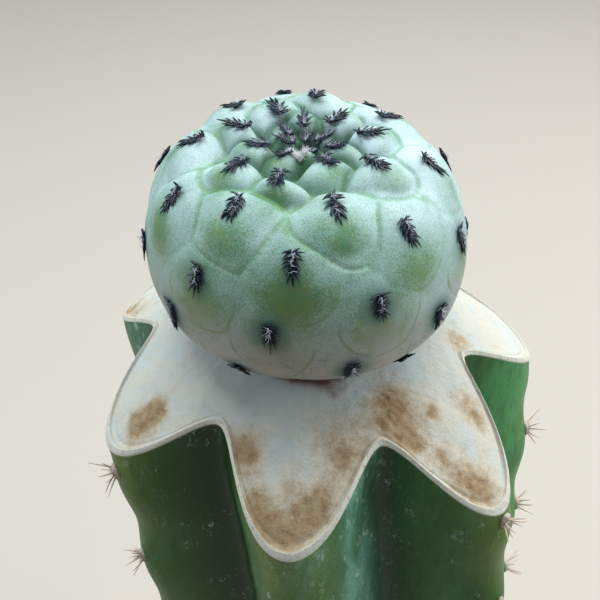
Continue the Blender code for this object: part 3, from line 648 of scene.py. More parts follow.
def needles(name, roots, ahead, bend, lengths, radii, flatness, sides, rows):
    """Many tapering bent spines or hairs in one mesh.

    A spine's middle line is its root plus length times (ahead * s + bend * s squared), with s from 0 to 1.
    Round it run rings whose radius shrinks with a power of what is left of s, flattened towards bend. The
    root is closed by a fan, and the tip is one point. A mark tells how far along its spine a point lies.
    """
    count = len(roots)
    s = (np.arange(rows) / rows)[None, :, None]
    path = roots[:, None] + lengths[:, None, None] * (ahead[:, None] * s + bend[:, None] * s ** 2)
    slope = ahead[:, None] + 2 * bend[:, None] * s
    slope /= np.linalg.norm(slope, axis=2)[..., None]
    hint = np.where(np.abs(slope[..., 2:]) < 0.9, (0, 0, 1.0), (1.0, 0, 0))
    across = np.cross(slope, hint)
    across /= np.linalg.norm(across, axis=2)[..., None]
    over = np.cross(slope, across)
    radius = radii[:, None, None] * (1 - s) ** 0.55
    angle = np.arange(sides) * 2 * math.pi / sides
    ring = np.cos(angle)[:, None] * across[:, :, None] + flatness * np.sin(angle)[:, None] * over[:, :, None]
    rings = (path[:, :, None] + radius[..., None] * ring).reshape(count, -1, 3)
    tips = roots + lengths[:, None] * (ahead + bend)
    points = np.concatenate([rings, roots[:, None], tips[:, None]], axis=1)
    row, step = np.arange(rows - 1)[:, None], np.arange(sides)[None]
    beside = (step + 1) % sides
    squares = np.stack([
        row * sides + step, row * sides + beside, (row + 1) * sides + beside, (row + 1) * sides + step], -1)
    root, tip, top = rows * sides, rows * sides + 1, (rows - 1) * sides
    step, beside = step[0], beside[0]
    closing = np.concatenate([
        np.stack([0 * step + root, beside, step], -1),
        np.stack([0 * step + tip, top + step, top + beside], -1)])
    start = (np.arange(count) * (rows * sides + 2))[:, None, None]
    faces = (squares.reshape(1, -1, 4) + start).reshape(-1, 4).tolist()
    faces = faces + (closing[None] + start).reshape(-1, 3).tolist()
    mesh = bpy.data.meshes.new(name)
    mesh.from_pydata(points.reshape(-1, 3), [], faces)
    along = np.concatenate([np.repeat(s[0, :, 0], sides), [0, 1]])
    along = np.tile(along, count).astype(np.float32)
    mesh.attributes.new("along", "FLOAT", "POINT").data.foreach_set("value", along)
    return mesh


def pebbles(name, centres, frames, radii, rows, steps, uneven, draw):
    """Many small rounded lumps in one mesh.

    Each is an ellipsoid of three radii along the rows of its frame, and each of its points is moved in or
    out by a random part. A mark gives every lump a number of its own from 0 to 1.
    """
    count = len(centres)
    polar = np.linspace(0, math.pi, rows + 2)[1:-1, None]
    angle = np.arange(steps) * 2 * math.pi / steps
    ball = np.stack([
        np.sin(polar) * np.cos(angle), np.sin(polar) * np.sin(angle), np.cos(polar) + 0 * angle], -1)
    ball = np.concatenate([ball.reshape(-1, 3), [(0, 0, 1), (0, 0, -1)]])
    grown = ball * (1 + uneven * draw.uniform(-1, 1, (count, len(ball), 1)))
    points = centres[:, None] + (grown * radii[:, None]) @ frames
    row, step = np.arange(rows - 1)[:, None], np.arange(steps)[None]
    beside = (step + 1) % steps
    squares = np.stack([
        row * steps + step, (row + 1) * steps + step, (row + 1) * steps + beside, row * steps + beside], -1)
    top, foot, low = rows * steps, rows * steps + 1, (rows - 1) * steps
    step, beside = step[0], beside[0]
    closing = np.concatenate([
        np.stack([0 * step + top, step, beside], -1),
        np.stack([0 * step + foot, low + beside, low + step], -1)])
    start = (np.arange(count) * len(ball))[:, None, None]
    faces = (squares.reshape(1, -1, 4) + start).reshape(-1, 4).tolist()
    faces = faces + (closing[None] + start).reshape(-1, 3).tolist()
    mesh = bpy.data.meshes.new(name)
    mesh.from_pydata(points.reshape(-1, 3), [], faces)
    kind = np.repeat(draw.uniform(0, 1, count), len(ball)).astype(np.float32)
    mesh.attributes.new("kind", "FLOAT", "POINT").data.foreach_set("value", kind)
    return mesh


def felt_finish(name, pale, dark):
    """Matted wool, mottled between a dark and a pale colour."""
    finish, tree, shader = start_finish(name)
    wool = speckle(tree, 0.25 * MM, 4, 0.7)
    feed(tree, shader.inputs["Base Color"], tint(tree, between(tree, wool, 0.3, 0.7), dark, pale))
    shader.inputs["Roughness"].default_value = 0.95
    shader.inputs["Specular IOR Level"].default_value = 0.1
    shader.inputs["Sheen Weight"].default_value = 0.3
    raised(tree, shader, wool, 0.12 * MM)
    return finish


def straw_finish():
    """Stock spines: straw-coloured, rusty at the root and the tip."""
    finish, tree, shader = start_finish("straw_spine")
    along = read(tree, "along")
    ends = calc(tree, "MAXIMUM", between(tree, along, 0.2, 0.0), between(tree, along, 0.78, 1.0))
    mottled = calc(tree, "MULTIPLY", ends, between(tree, speckle(tree, 1.0 * MM, 3), 0.2, 0.6))
    feed(tree, shader.inputs["Base Color"], tint(tree, mottled, STRAW, RUST))
    shader.inputs["Roughness"].default_value = 0.45
    return finish


def stock_areoles():
    """Rib number and level of every areole above the soil."""
    places = []
    for rib in range(RIBS):
        first = TIP_LEVEL - AREOLE_DEPTH[rib] * MM
        rows = int((first - SOIL_LEVEL - 4 * MM) / AREOLE_PITCH) + 1
        places += [(rib, first - row * AREOLE_PITCH) for row in range(rows)]
    return np.array(places)


rib_number, areole_level = stock_areoles().T
areole_place = stock_side(rib_number, areole_level)
rib_azimuth = rib_angles()[0][rib_number.astype(int)]
rib_out = np.stack([np.cos(rib_azimuth), np.sin(rib_azimuth), 0 * rib_azimuth], -1)
rib_side = np.stack([-rib_out[:, 1], rib_out[:, 0], 0 * rib_azimuth], -1)
rib_up = np.zeros_like(rib_out) + (0, 0, 1)
draw = np.random.default_rng(21)

rib_frames = np.stack([rib_side, rib_up, rib_out], 1)
felt_sizes = np.array(FELT_RADII) * draw.uniform(0.85, 1.15, (len(rib_out), 3))
felt_mesh = pebbles("stock_felt", areole_place, rib_frames, felt_sizes, 12, 20, 0.07, draw)
add_piece("stock_felt", felt_mesh, felt_finish("grey_felt", FELT_PALE, FELT_GREY), "stock_skin", "stock")


def scattered(base, sideways, upward, spread_side, spread_up, draw):
    """Directions that fan out from a base one by random shares of the two across it, made unit length."""
    ways = base + sideways * draw.uniform(-spread_side, spread_side, (len(base), 1))
    ways = ways + upward * draw.uniform(-spread_up, spread_up, (len(base), 1))
    return ways / np.linalg.norm(ways, axis=1)[:, None]


def fan_of_spines():
    """Spines spread evenly round each areole, leaning outwards, with small random changes."""
    each = np.repeat(np.arange(len(rib_out)), STOCK_SPINES_EACH)
    around = np.tile(np.arange(STOCK_SPINES_EACH) / STOCK_SPINES_EACH, len(rib_out)) * 2 * math.pi
    around = around + draw.uniform(-0.35, 0.35, len(each))
    lean = draw.uniform(0.35, 1.1, len(each))
    wheel = rib_side[each] * np.cos(around)[:, None] + rib_up[each] * np.sin(around)[:, None]
    ways = rib_out[each] + wheel * lean[:, None]
    ways /= np.linalg.norm(ways, axis=1)[:, None]
    roots = areole_place[each] + wheel * 0.45 * MM + rib_out[each] * 0.15 * MM
    lengths = STOCK_SPINE * draw.uniform(0.55, 1.0, len(each))
    bend = draw.normal(0, 0.08, (len(each), 3))
    radii = STOCK_SPINE_RADIUS * draw.uniform(0.8, 1.1, len(each))
    return needles("stock_spines", roots, ways, bend, lengths, radii, 1, 7, 8)


add_piece("stock_spines", fan_of_spines(), straw_finish(), "stock_skin", "stock")

hair = np.repeat(np.arange(len(rib_out)), FELT_HAIRS)
hair_ways = scattered(rib_out[hair], rib_side[hair], rib_up[hair], 1.6, 1.6, draw)
hair_roots = areole_place[hair] + hair_ways * (0.35 * MM)
hair_sizes = draw.uniform(0.5, 1.1, len(hair)) * MM
hair_bend = draw.normal(0, 0.35, (len(hair), 3))
hair_radii = HAIR_RADIUS + 0 * hair_sizes
hair_mesh = needles("stock_wool", hair_roots, hair_ways, hair_bend, hair_sizes, hair_radii, 1, 3, 4)
add_piece("stock_wool", hair_mesh, felt_finish("loose_wool", FELT_PALE, FELT_GREY), "stock_skin", "stock")


# The soil: a gritty mineral mix of pumice, lava and a little humus, filled in round the stock to just
# below the rim and left loose. The largest grains lie on top, washed clean by watering.
SOIL_RELIEF = 1.3 * MM
GRAIN_PITCH = 2.1 * MM
GRAIN_LEAST = 0.7 * MM
GRAIN_MOST = 1.6 * MM
HUMUS = (0.055, 0.035, 0.022)
DARK_GRIT = (0.12, 0.085, 0.06)
PUMICE = (0.55, 0.50, 0.42)
LAVA = (0.22, 0.085, 0.055)


def pot_inner_radius(level):
    """Radius of the pot's inner wall, which widens evenly from the floor to the rim."""
    (low, low_level), (high, high_level) = pot_section()[-2:]
    return low + (high - low) * (level - low_level) / (high_level - low_level)


def soil_rings():
    """Rings up the hole for the stock, out over the lumpy top, down the wall and in under the soil."""
    turn = np.arange(RIBS * 20) / 20
    outward = np.stack([np.cos(stock_section(turn)[0]), np.sin(stock_section(turn)[0])], -1)
    hole = np.linspace(STOCK_FOOT - GAP, SOIL_LEVEL, 8)[:, None]
    gap = GAP * (1.6 + 3 * (SOIL_LEVEL - hole) / (SOIL_LEVEL - STOCK_FOOT))
    inner = stock_side(turn + 0 * hole, hole + 0 * turn)
    inner[..., :2] += outward * gap[..., None]
    outer = outward * (pot_inner_radius(SOIL_LEVEL) - 1.4 * GAP)
    blend = np.linspace(0, 1, 34)[1:, None, None]
    top = np.zeros((33, len(turn), 3))
    top[..., :2] = inner[-1, :, :2] + (outer - inner[-1, :, :2]) * blend
    top[..., 2] = SOIL_LEVEL
    top[..., 2] += SOIL_RELIEF * (0.5 * lumps(top, 4.5 * MM, 31) + 0.35 * lumps(top, 1.6 * MM, 32))
    low_outer = outward * (pot_inner_radius(POT_FLOOR + 2 * MM) - 1.4 * GAP)
    foot = np.stack([
        np.column_stack([low_outer, 0 * turn + POT_FLOOR + 2.2 * MM]),
        np.column_stack([0.9 * low_outer, 0 * turn + POT_FLOOR + GAP])])
    return np.concatenate([inner, top, foot])


def soil_finish():
    """Damp humus between the grains."""
    finish, tree, shader = start_finish("humus")
    crumb = speckle(tree, 1.2 * MM, 6, 0.7)
    feed(tree, shader.inputs["Base Color"], tint(tree, between(tree, crumb, 0.35, 0.7), HUMUS, DARK_GRIT))
    shader.inputs["Roughness"].default_value = 0.95
    raised(tree, shader, crumb, 0.5 * MM)
    return finish


def grit_finish():
    """Grains of pale pumice, red lava and dark zeolite, each of one kind, dusty and finely pitted."""
    finish, tree, shader = start_finish("mixed_grit")
    kind = read(tree, "kind")
    colour = tint(tree, between(tree, kind, 0.28, 0.30), DARK_GRIT, LAVA)
    colour = tint(tree, between(tree, kind, 0.52, 0.54), colour, PUMICE)
    shade = between(tree, speckle(tree, 2.5 * MM, 2), 0.3, 0.7)
    colour = tint(tree, calc(tree, "MULTIPLY", shade, 0.4), colour, DARK_GRIT)
    pits = speckle(tree, 0.35 * MM, 4, 0.7)
    colour = tint(tree, calc(tree, "MULTIPLY", between(tree, pits, 0.5, 0.3), 0.5), colour, HUMUS)
    feed(tree, shader.inputs["Base Color"], colour)
    shader.inputs["Roughness"].default_value = 0.9
    raised(tree, shader, pits, 0.12 * MM)
    return finish


soil_mesh = ring_mesh("soil_bed", soil_rings(), False, {})
add_piece("soil_bed", soil_mesh, soil_finish(), "soil", "soil")


def grain_places():
    """Grains on a shaken square grid over the top of the soil, kept clear of the stock and the wall."""
    draw = np.random.default_rng(33)
    count = int(2 * POT_RIM_RADIUS / GRAIN_PITCH)
    cells = np.stack(np.meshgrid(np.arange(count), np.arange(count)), -1).reshape(-1, 2)
    spot = (cells - count / 2) * GRAIN_PITCH
    spot = np.concatenate([spot, spot + 0.5 * GRAIN_PITCH]) + draw.uniform(-0.8, 0.8, (2 * len(spot), 2)) * MM
    size = GRAIN_LEAST + (GRAIN_MOST - GRAIN_LEAST) * draw.uniform(0, 1, len(spot)) ** 1.6
    radius = np.hypot(*spot.T)
    around = np.arctan2(spot[:, 1], spot[:, 0] - STOCK_LEAN)
    turn = np.linspace(0, RIBS, 700, endpoint=False)
    edge = stock_side(turn, SOIL_LEVEL + 0 * turn)
    edge_turn = np.arctan2(edge[:, 1], edge[:, 0] - STOCK_LEAN)
    order = np.argsort(edge_turn)
    edge_radius = np.hypot(edge[:, 0] - STOCK_LEAN, edge[:, 1])[order]
    stock_radius = np.interp(around, edge_turn[order], edge_radius, period=2 * math.pi)
    clear = np.hypot(spot[:, 0] - STOCK_LEAN, spot[:, 1]) > stock_radius + size
    kept = clear & (radius < pot_inner_radius(SOIL_LEVEL) - 0.9 * size - 0.3 * MM)
    spot, size = spot[kept], size[kept]
    level = SOIL_LEVEL + draw.uniform(-0.3, 0.9, len(spot)) * MM
    radii = size[:, None] * draw.uniform(0.7, 1.15, (len(spot), 3))
    frames = np.linalg.qr(draw.normal(size=(len(spot), 3, 3)))[0]
    frames *= np.linalg.det(frames)[:, None, None]
    return pebbles("soil_grit", np.column_stack([spot, level]), frames, radii, 3, 7, 0.22, draw)


add_piece("soil_grit", grain_places(), grit_finish(), "soil", "soil")


# The graft: where the two cut faces have grown together the sap dried to a dark red, corky bead that runs
# round the foot of the scion and closes the joint.
UNION_RADIUS = 8.3 * MM
UNION_HALF_WIDTH = 1.1 * MM
UNION_HEIGHT = 0.42 * MM
UNION_STEPS = 220
UNION_MIDDLE = (-0.45 * MM, -0.9 * MM)
CORK = (0.20, 0.075, 0.05)


def union_rings():
    """A low ring whose section is half an ellipse on a flat foot, waved by soft lumps along its way."""
    angle = np.linspace(0, 2 * math.pi, UNION_STEPS, endpoint=False)
    tilt = np.linspace(math.pi, 0, 9)[:, None]
    radius = UNION_RADIUS + UNION_HALF_WIDTH * np.cos(tilt)
    flat = np.stack([radius * np.cos(angle), radius * np.sin(angle), 0 * radius * angle], -1)
    level = UNION_HEIGHT * np.sin(tilt) * (1 + 0.3 * lumps(flat, 0.7 * MM, 41))
    flat[..., :2] += UNION_MIDDLE
    flat[..., 2] = CUT_LEVEL - 0.25 * MM + np.maximum(level, 0)
    return flat


def cork_finish():
    """Dried sap and cork: dark red-brown, grained and dull."""
    finish, tree, shader = start_finish("dried_sap")
    grain = speckle(tree, 0.5 * MM, 5, 0.7)
    feed(tree, shader.inputs["Base Color"], tint(tree, between(tree, grain, 0.35, 0.65), RED_SAP, CORK))
    shader.inputs["Roughness"].default_value = 0.8
    raised(tree, shader, grain, 0.1 * MM)
    return finish


union_mesh = ring_mesh("graft_union", union_rings(), True, {})
add_piece("graft_union", union_mesh, cork_finish(), "stock_skin", "stock")


# The scion: a globe of soft green flesh whose low tubercles follow one spiral out of the sunken crown.
# A powdery wax lies over its skin, thickest on top of each tubercle and worn thin in the furrows.
SCION_RADIUS = 17.1 * MM
SCION_CENTRE = np.array((-0.45 * MM, -0.9 * MM, CUT_LEVEL + 9.75 * MM))
SCION_TOP = 14.5 * MM
SCION_BOTTOM = 10.25 * MM
TOP_POWER = 2.44
BOTTOM_POWER = 2.3
SCION_LEAN = (-0.045, 0.023)       # sideways and backward shift with height
DIMPLE_DEPTH = 2.6 * MM
DIMPLE_RADIUS = 7.0 * MM
SCION_STEPS = 380
SCION_ROWS = 220
TURN_PER_TUBERCLE = math.radians(106.61)
FIRST_TURN = math.radians(194.2)
CROWN_COUNT = 9
CROWN_REACH = 19
CROWN_START = 1.25 * MM
CROWN_POWER = 1.26
SPIRAL_STEP = 1.54 * MM
SPIRAL_SHIFT = 1.7
SPIRAL_POWER = 0.807
SPIRAL_BACK = 1.33 * MM
TUBERCLES = 56
STRAYS = {                         # tubercles off the spiral: mm down the flesh, degrees round it
    12: (1, 8), 13: (1.4, -6), 15: (-1, 0), 18: (0, 7), 19: (1.6, -5), 20: (0.7, 0), 21: (-0.8, -3),
    22: (-1.4, -5), 23: (-0.6, -8), 30: (-1.4, -6), 36: (1.2, 0), 37: (-1.2, -4), 40: (-0.8, 0),
    44: (-0.8, -5)}
SMALLEST_KNOB = 1.2 * MM
TUBERCLE_DEPTH = 1.25 * MM
FLANK_DEPTH = 0.12                 # part of it that is left on the flank
SHOULDER = 12.5 * MM               # distance from the crown's middle where the grooves fade
SHOULDER_WIDTH = 2.4 * MM
GROOVE_SOFTNESS = 0.14 * MM
TUBERCLE_POWER = 2.4
TUBERCLE_SAG = 0.2
WAVINESS = 0.42 * MM               # how far the borders between tubercles stray from even curves
BASE_LEVEL = CUT_LEVEL + GAP - SCION_CENTRE[2]
CREASE_DEPTH = 0.24 * MM           # fine crease where two tubercles meet
CREASE_WIDTH = 0.32 * MM
GREEN_DROP = 0.36                  # from an areole down to its tubercle's greenest place, in widths
GREEN_SPREAD = 0.32
RIGHT_PAINTED_LIGHT = 1.6                   # painted light: how much more powder is painted on the right side, to brighten it
LEFT_PAINTED_LIGHT = 0.5                     # painted light: the same on the left side, across from it
FRONT_PAINTED_SHADE = 1.3                        # painted shade: how much less powder is painted on the front, to darken it
FURROW_GREEN = (0.10, 0.30, 0.085)
SKIN_GREEN = (0.10, 0.27, 0.12)
FLANK_GREEN = (0.16, 0.25, 0.08)
OLIVE = (0.19, 0.27, 0.06)
POWDER = (0.36, 0.53, 0.48)
WHITE_POWDER = (0.60, 0.73, 0.76)
OLD_SKIN = (0.42, 0.38, 0.38)
HALO_GREEN = (0.03, 0.13, 0.10)
# painted shade: the dark green of the furrows in the sunken crown
CROWN_SHADE_GREEN = (0.03, 0.12, 0.055)
VEIN_MAUVE = (0.20, 0.15, 0.165)


def scion_curve():
    """Arc length, radius and height along the globe's section, from the crown's middle to the cut base.

    Both halves are superellipses about the widest level. A bell-shaped dimple sinks the crown.
    """
    cut = math.asin((-BASE_LEVEL / SCION_BOTTOM) ** (BOTTOM_POWER / 2))
    upper = np.linspace(0, 0.5 * math.pi, 160)
    lower = np.linspace(0, cut, 120)[1:]
    radius = SCION_RADIUS * np.concatenate([
        np.sin(upper) ** (2 / TOP_POWER), np.cos(lower) ** (2 / BOTTOM_POWER)])
    height = np.concatenate([
        SCION_TOP * np.cos(upper) ** (2 / TOP_POWER), -SCION_BOTTOM * np.sin(lower) ** (2 / BOTTOM_POWER)])
    height = height - DIMPLE_DEPTH * np.exp(-(radius / DIMPLE_RADIUS) ** 2) * (height > 0)
    arc = np.concatenate([[0], np.cumsum(np.hypot(np.diff(radius), np.diff(height)))])
    return arc, radius, height


def scion_point(arc_length, azimuth):
    """The smooth globe, about its own centre."""
    arc, radius, height = scion_curve()
    reach = np.interp(arc_length, arc, radius)
    level = np.interp(arc_length, arc, height)
    return np.stack([reach * np.cos(azimuth), reach * np.sin(azimuth), level], -1)


def tubercle_places():
    """Arc length, azimuth and width of every tubercle.

    Each stands a fixed turn after the last. Its arc length grows with a power of its number, slowly at
    first in the crowded crown. Its width is the root of the area that the spiral leaves to it.
    """
    number = np.arange(TUBERCLES)
    later = np.maximum(number - CROWN_COUNT, 0)
    even = SPIRAL_STEP * (later + SPIRAL_SHIFT) ** SPIRAL_POWER - SPIRAL_BACK
    join = SPIRAL_STEP * (CROWN_REACH - CROWN_COUNT + SPIRAL_SHIFT) ** SPIRAL_POWER - SPIRAL_BACK
    crowded = CROWN_START + (join - CROWN_START) * (number / CROWN_REACH) ** CROWN_POWER
    arc = np.where(number < CROWN_REACH, crowded, even)
    azimuth = FIRST_TURN + TURN_PER_TUBERCLE * (number - CROWN_COUNT)
    reach = np.hypot(*scion_point(arc, 0 * arc)[:, :2].T)
    widths = np.sqrt(1.155 * 2 * math.pi * np.maximum(reach, 1 * MM) * np.gradient(arc))
    for stray, (down, round_it) in STRAYS.items():
        arc[stray] += down * MM
        azimuth[stray] += math.radians(round_it)
    kept = (widths > SMALLEST_KNOB) & (arc < scion_curve()[0][-1] - 3.5 * MM)
    return arc[kept], azimuth[kept], widths[kept]


def tubercle_reach(points):
    """Distance of every point from every tubercle's middle, as a part of the tubercle's half width.

    The points are first shifted by soft lumps, so the borders between tubercles run in uneven waves.
    """
    points = points + WAVINESS * np.stack([lumps(points, 3.2 * MM, seed) for seed in (51, 52, 53)], -1)
    arc, azimuth, widths = tubercle_places()
    sag = TUBERCLE_SAG * widths * np.clip(arc / (12 * MM), 0, 1)
    centres = scion_point(arc + sag, azimuth)
    return np.linalg.norm(points[..., None, :] - centres, axis=-1) / (0.5 * widths)


def tubercle_domes(reach):
    """Height of every tubercle's dome: a power of the reach, down from its middle."""
    arc, _, widths = tubercle_places()
    fade = 1 / (1 + np.exp((arc - SHOULDER) / SHOULDER_WIDTH))
    depths = np.minimum(TUBERCLE_DEPTH * (FLANK_DEPTH + (1 - FLANK_DEPTH) * fade), 0.3 * widths)
    return -depths * reach ** TUBERCLE_POWER


def tubercle_relief(points):
    """Height of the flesh over the smooth globe.

    It is a soft maximum of the domes, less a narrow bell-shaped crease where two of them meet.
    """
    arc, _, widths = tubercle_places()
    reach = tubercle_reach(points)
    domes = tubercle_domes(reach)
    peak = domes.max(axis=-1)
    blend = np.exp((domes - peak[..., None]) / GROOVE_SOFTNESS).sum(axis=-1)
    relief = peak + GROOVE_SOFTNESS * np.log(blend)
    order = reach.argsort(axis=-1)[..., :2]
    nearest = np.take_along_axis(reach, order, -1)
    border = 0.25 * (nearest[..., 1] - nearest[..., 0]) * widths[order[..., 0]]
    fade = 0.12 + 0.88 / (1 + np.exp((arc[order[..., 0]] - SHOULDER) / (0.6 * SHOULDER_WIDTH)))
    crease = CREASE_DEPTH * fade * np.exp(-(border / CREASE_WIDTH) ** 2)
    return np.maximum(relief, -1.6 * TUBERCLE_DEPTH) - crease + 0.3 * MM


def scion_normals(arc_length, azimuth):
    """Outward directions of the smooth globe."""
    step = 0.02 * MM
    arc_end = scion_curve()[0][-1]
    low, high = np.clip(arc_length - step, 0, arc_end), np.clip(arc_length + step, 0, arc_end)
    slope = scion_point(high, azimuth) - scion_point(low, azimuth)
    around = np.stack([-np.sin(azimuth), np.cos(azimuth), 0 * azimuth], -1)
    normal = np.cross(slope, around)
    return normal / np.linalg.norm(normal, axis=-1)[..., None]


def scion_surface(arc_length, azimuth):
    """The finished flesh: the globe plus the tubercles along its outward directions, with a flat base."""
    points = scion_point(arc_length, azimuth)
    keep = np.clip((scion_curve()[0][-1] - arc_length) / (4 * MM), 0, 1)
    points = points + scion_normals(arc_length, azimuth) * (tubercle_relief(points) * keep)[..., None]
    points[..., 2] = np.maximum(points[..., 2], BASE_LEVEL)
    points[..., :2] += (points[..., 2:] - BASE_LEVEL) * SCION_LEAN
    return points + SCION_CENTRE


def scion_marks(arc_length, azimuth):
    """What the skin's finish reads at every point of the flesh.

    Border is the distance in mm to the line where two tubercles meet. Round is the distance from the middle
    of the closest tubercle and under how far below its areole the point lies, both in half widths. Green is
    a sum of bell shapes, one on the lower half of each tubercle. Near is the distance in mm to the closest
    areole, and down is the share of the way from the crown to the base. The last mark is painted light and
    shade: a part of the cosine of the azimuth, taken as positive on both sides, less a part of the sine
    where that is below nought, so the right and left sides get more powder and the front less.
    """
    arc, turn, widths = tubercle_places()
    smooth = scion_point(arc_length, azimuth)
    reach = tubercle_reach(smooth)
    order = reach.argsort(axis=-1)[..., :2]
    nearest = np.take_along_axis(reach, order, -1)
    below = (arc_length[..., None] - arc) / (0.5 * widths)
    spot = scion_point(arc + GREEN_DROP * widths, turn)
    spread = np.linalg.norm(smooth[..., None, :] - spot, axis=-1) / (GREEN_SPREAD * widths)
    offset = np.linalg.norm(smooth[..., None, :] - scion_point(arc, turn), axis=-1)
    # Painted light and shade: powder added on the right and left sides and taken off the front.
    side_light_front_shade = np.maximum(RIGHT_PAINTED_LIGHT * np.cos(azimuth), -LEFT_PAINTED_LIGHT * np.cos(azimuth))
    return {
        "border": 0.25 * (nearest[..., 1] - nearest[..., 0]) * widths[order[..., 0]] / MM,
        "round": nearest[..., 0],
        "under": np.take_along_axis(below, order[..., :1], -1)[..., 0],
        "green": np.exp(-spread ** 2).sum(axis=-1),
        "near": offset.min(axis=-1) / MM,
        "down": arc_length / scion_curve()[0][-1],
        "side_light_front_shade": side_light_front_shade - FRONT_PAINTED_SHADE * np.maximum(-np.sin(azimuth), 0),
    }


def powder_finish():
    """Green skin under a broken powdery wax, older and greyer low down, dark and clean round each areole."""
    finish, tree, shader = start_finish("powdered_skin")
    green, down, near = read(tree, "green"), read(tree, "down"), read(tree, "near")
    border, circle, under = read(tree, "border"), read(tree, "round"), read(tree, "under")
    flank = between(tree, down, 0.40, 0.58)
    dust = speckle(tree, 0.14 * MM, 2, 0.8)
    cloud = speckle(tree, 2.4 * MM, 5, 0.65)
    colour = tint(tree, between(tree, down, 0.30, 0.75), SKIN_GREEN, FLANK_GREEN)
    mottled = between(tree, speckle(tree, 1.3 * MM, 4, 0.65, shift=5), 0.42, 0.66)
    colour = tint(tree, calc(tree, "MULTIPLY", mottled, 0.6), colour, OLIVE)
    patchy = between(tree, speckle(tree, 1.6 * MM, 4, 0.6, shift=3), 0.32, 0.62)
    furrow = calc(tree, "MULTIPLY", between(tree, border, 0.46, 0.04), between(tree, down, 0.52, 0.24))
    furrow = calc(tree, "MULTIPLY", furrow, calc(tree, "ADD", calc(tree, "MULTIPLY", patchy, 0.75), 0.25))
    wax = calc(tree, "SUBTRACT", 0.95, calc(tree, "MULTIPLY", green, 0.85))
    wax = calc(tree, "ADD", wax, calc(tree, "MULTIPLY", calc(tree, "SUBTRACT", cloud, 0.5), 1.3))
    # Painted light and shade: more powder, so paler skin, on the right and left sides, and less on the front.
    wax = calc(tree, "ADD", wax, calc(tree, "MULTIPLY", read(tree, "side_light_front_shade"), 0.24))
    wax = calc(tree, "SUBTRACT", wax, calc(tree, "MULTIPLY", furrow, 0.45))
    # Painted shade: less powder over the lower half, so the lower flank is darker.
    wax = calc(tree, "SUBTRACT", wax, calc(tree, "MULTIPLY", between(tree, down, 0.34, 0.52), 0.32))
    grained = calc(tree, "ADD", wax, calc(tree, "MULTIPLY", calc(tree, "SUBTRACT", dust, 0.5), 2.2))
    colour = tint(tree, calc(tree, "MULTIPLY", between(tree, grained, -0.25, 0.75), 0.95), colour, POWDER)
    colour = tint(tree, calc(tree, "MULTIPLY", between(tree, grained, 0.6, 1.4), 0.9), colour, WHITE_POWDER)
    colour = tint(tree, calc(tree, "MULTIPLY", furrow, 0.55), colour, FURROW_GREEN)
    # Painted shade: the furrows of the sunken crown are darkened.
    crown_furrow_shade = calc(tree, "MULTIPLY", between(tree, down, 0.25, 0.08), between(tree, border, 1.1, 0.2))
    colour = tint(tree, calc(tree, "MULTIPLY", crown_furrow_shade, 0.85), colour, CROWN_SHADE_GREEN)
    old = calc(tree, "MULTIPLY", between(tree, down, 0.50, 0.72), between(tree, cloud, 0.18, 0.55))
    ridge = calc(tree, "SUBTRACT", speckle(tree, 2.6 * MM, 3, 0.55, (0.6, 0.6, 1), 7), 0.5)
    ridge = calc(tree, "ABSOLUTE", ridge)
    vein = calc(tree, "MULTIPLY", between(tree, ridge, 0.02, 0.0), between(tree, down, 0.55, 0.80))
    colour = tint(tree, calc(tree, "MULTIPLY", old, 0.85), colour, OLD_SKIN)
    colour = tint(tree, calc(tree, "MULTIPLY", vein, 0.7), colour, VEIN_MAUVE)
    halo = calc(tree, "MULTIPLY", between(tree, near, 3.0, 0.7), between(tree, down, 0.36, 0.60))
    halo = calc(tree, "MULTIPLY", halo, between(tree, dust, 0.15, 0.55))
    colour = tint(tree, calc(tree, "MULTIPLY", halo, 0.85), colour, HALO_GREEN)
    line = calc(tree, "MULTIPLY", between(tree, circle, 0.86, 0.93), between(tree, circle, 1.0, 0.93))
    line = calc(tree, "MULTIPLY", calc(tree, "MULTIPLY", line, between(tree, under, 0.1, 0.6)), flank)
    colour = tint(tree, calc(tree, "MULTIPLY", line, 0.6), colour, FLANK_GREEN)
    feed(tree, shader.inputs["Base Color"], colour)
    bloom = between(tree, wax, 0, 1)
    feed(tree, shader.inputs["Roughness"], calc(tree, "ADD", calc(tree, "MULTIPLY", bloom, 0.18), 0.48))
    shader.inputs["Subsurface Weight"].default_value = 0.12
    shader.inputs["Subsurface Radius"].default_value = (0.6, 1, 0.5)
    shader.inputs["Subsurface Scale"].default_value = 0.8 * MM
    raised(tree, shader, calc(tree, "ADD", dust, calc(tree, "MULTIPLY", cloud, 0.5)), 0.03 * MM)
    return finish


def scion_grid():
    """Arc length and azimuth at every point of the flesh, rows from the crown to the base."""
    arc_length = np.linspace(0.003, 1, SCION_ROWS)[:, None] * scion_curve()[0][-1]
    azimuth = np.arange(SCION_STEPS) * 2 * math.pi / SCION_STEPS
    return arc_length + 0 * azimuth, azimuth + 0 * arc_length


flesh_arc, flesh_azimuth = scion_grid()
flesh_points = scion_surface(flesh_arc, flesh_azimuth)
flesh_mesh = ring_mesh("scion_flesh", flesh_points, False, scion_marks(flesh_arc, flesh_azimuth))
add_piece("scion_flesh", flesh_mesh, powder_finish(), "scion_skin", "scion")


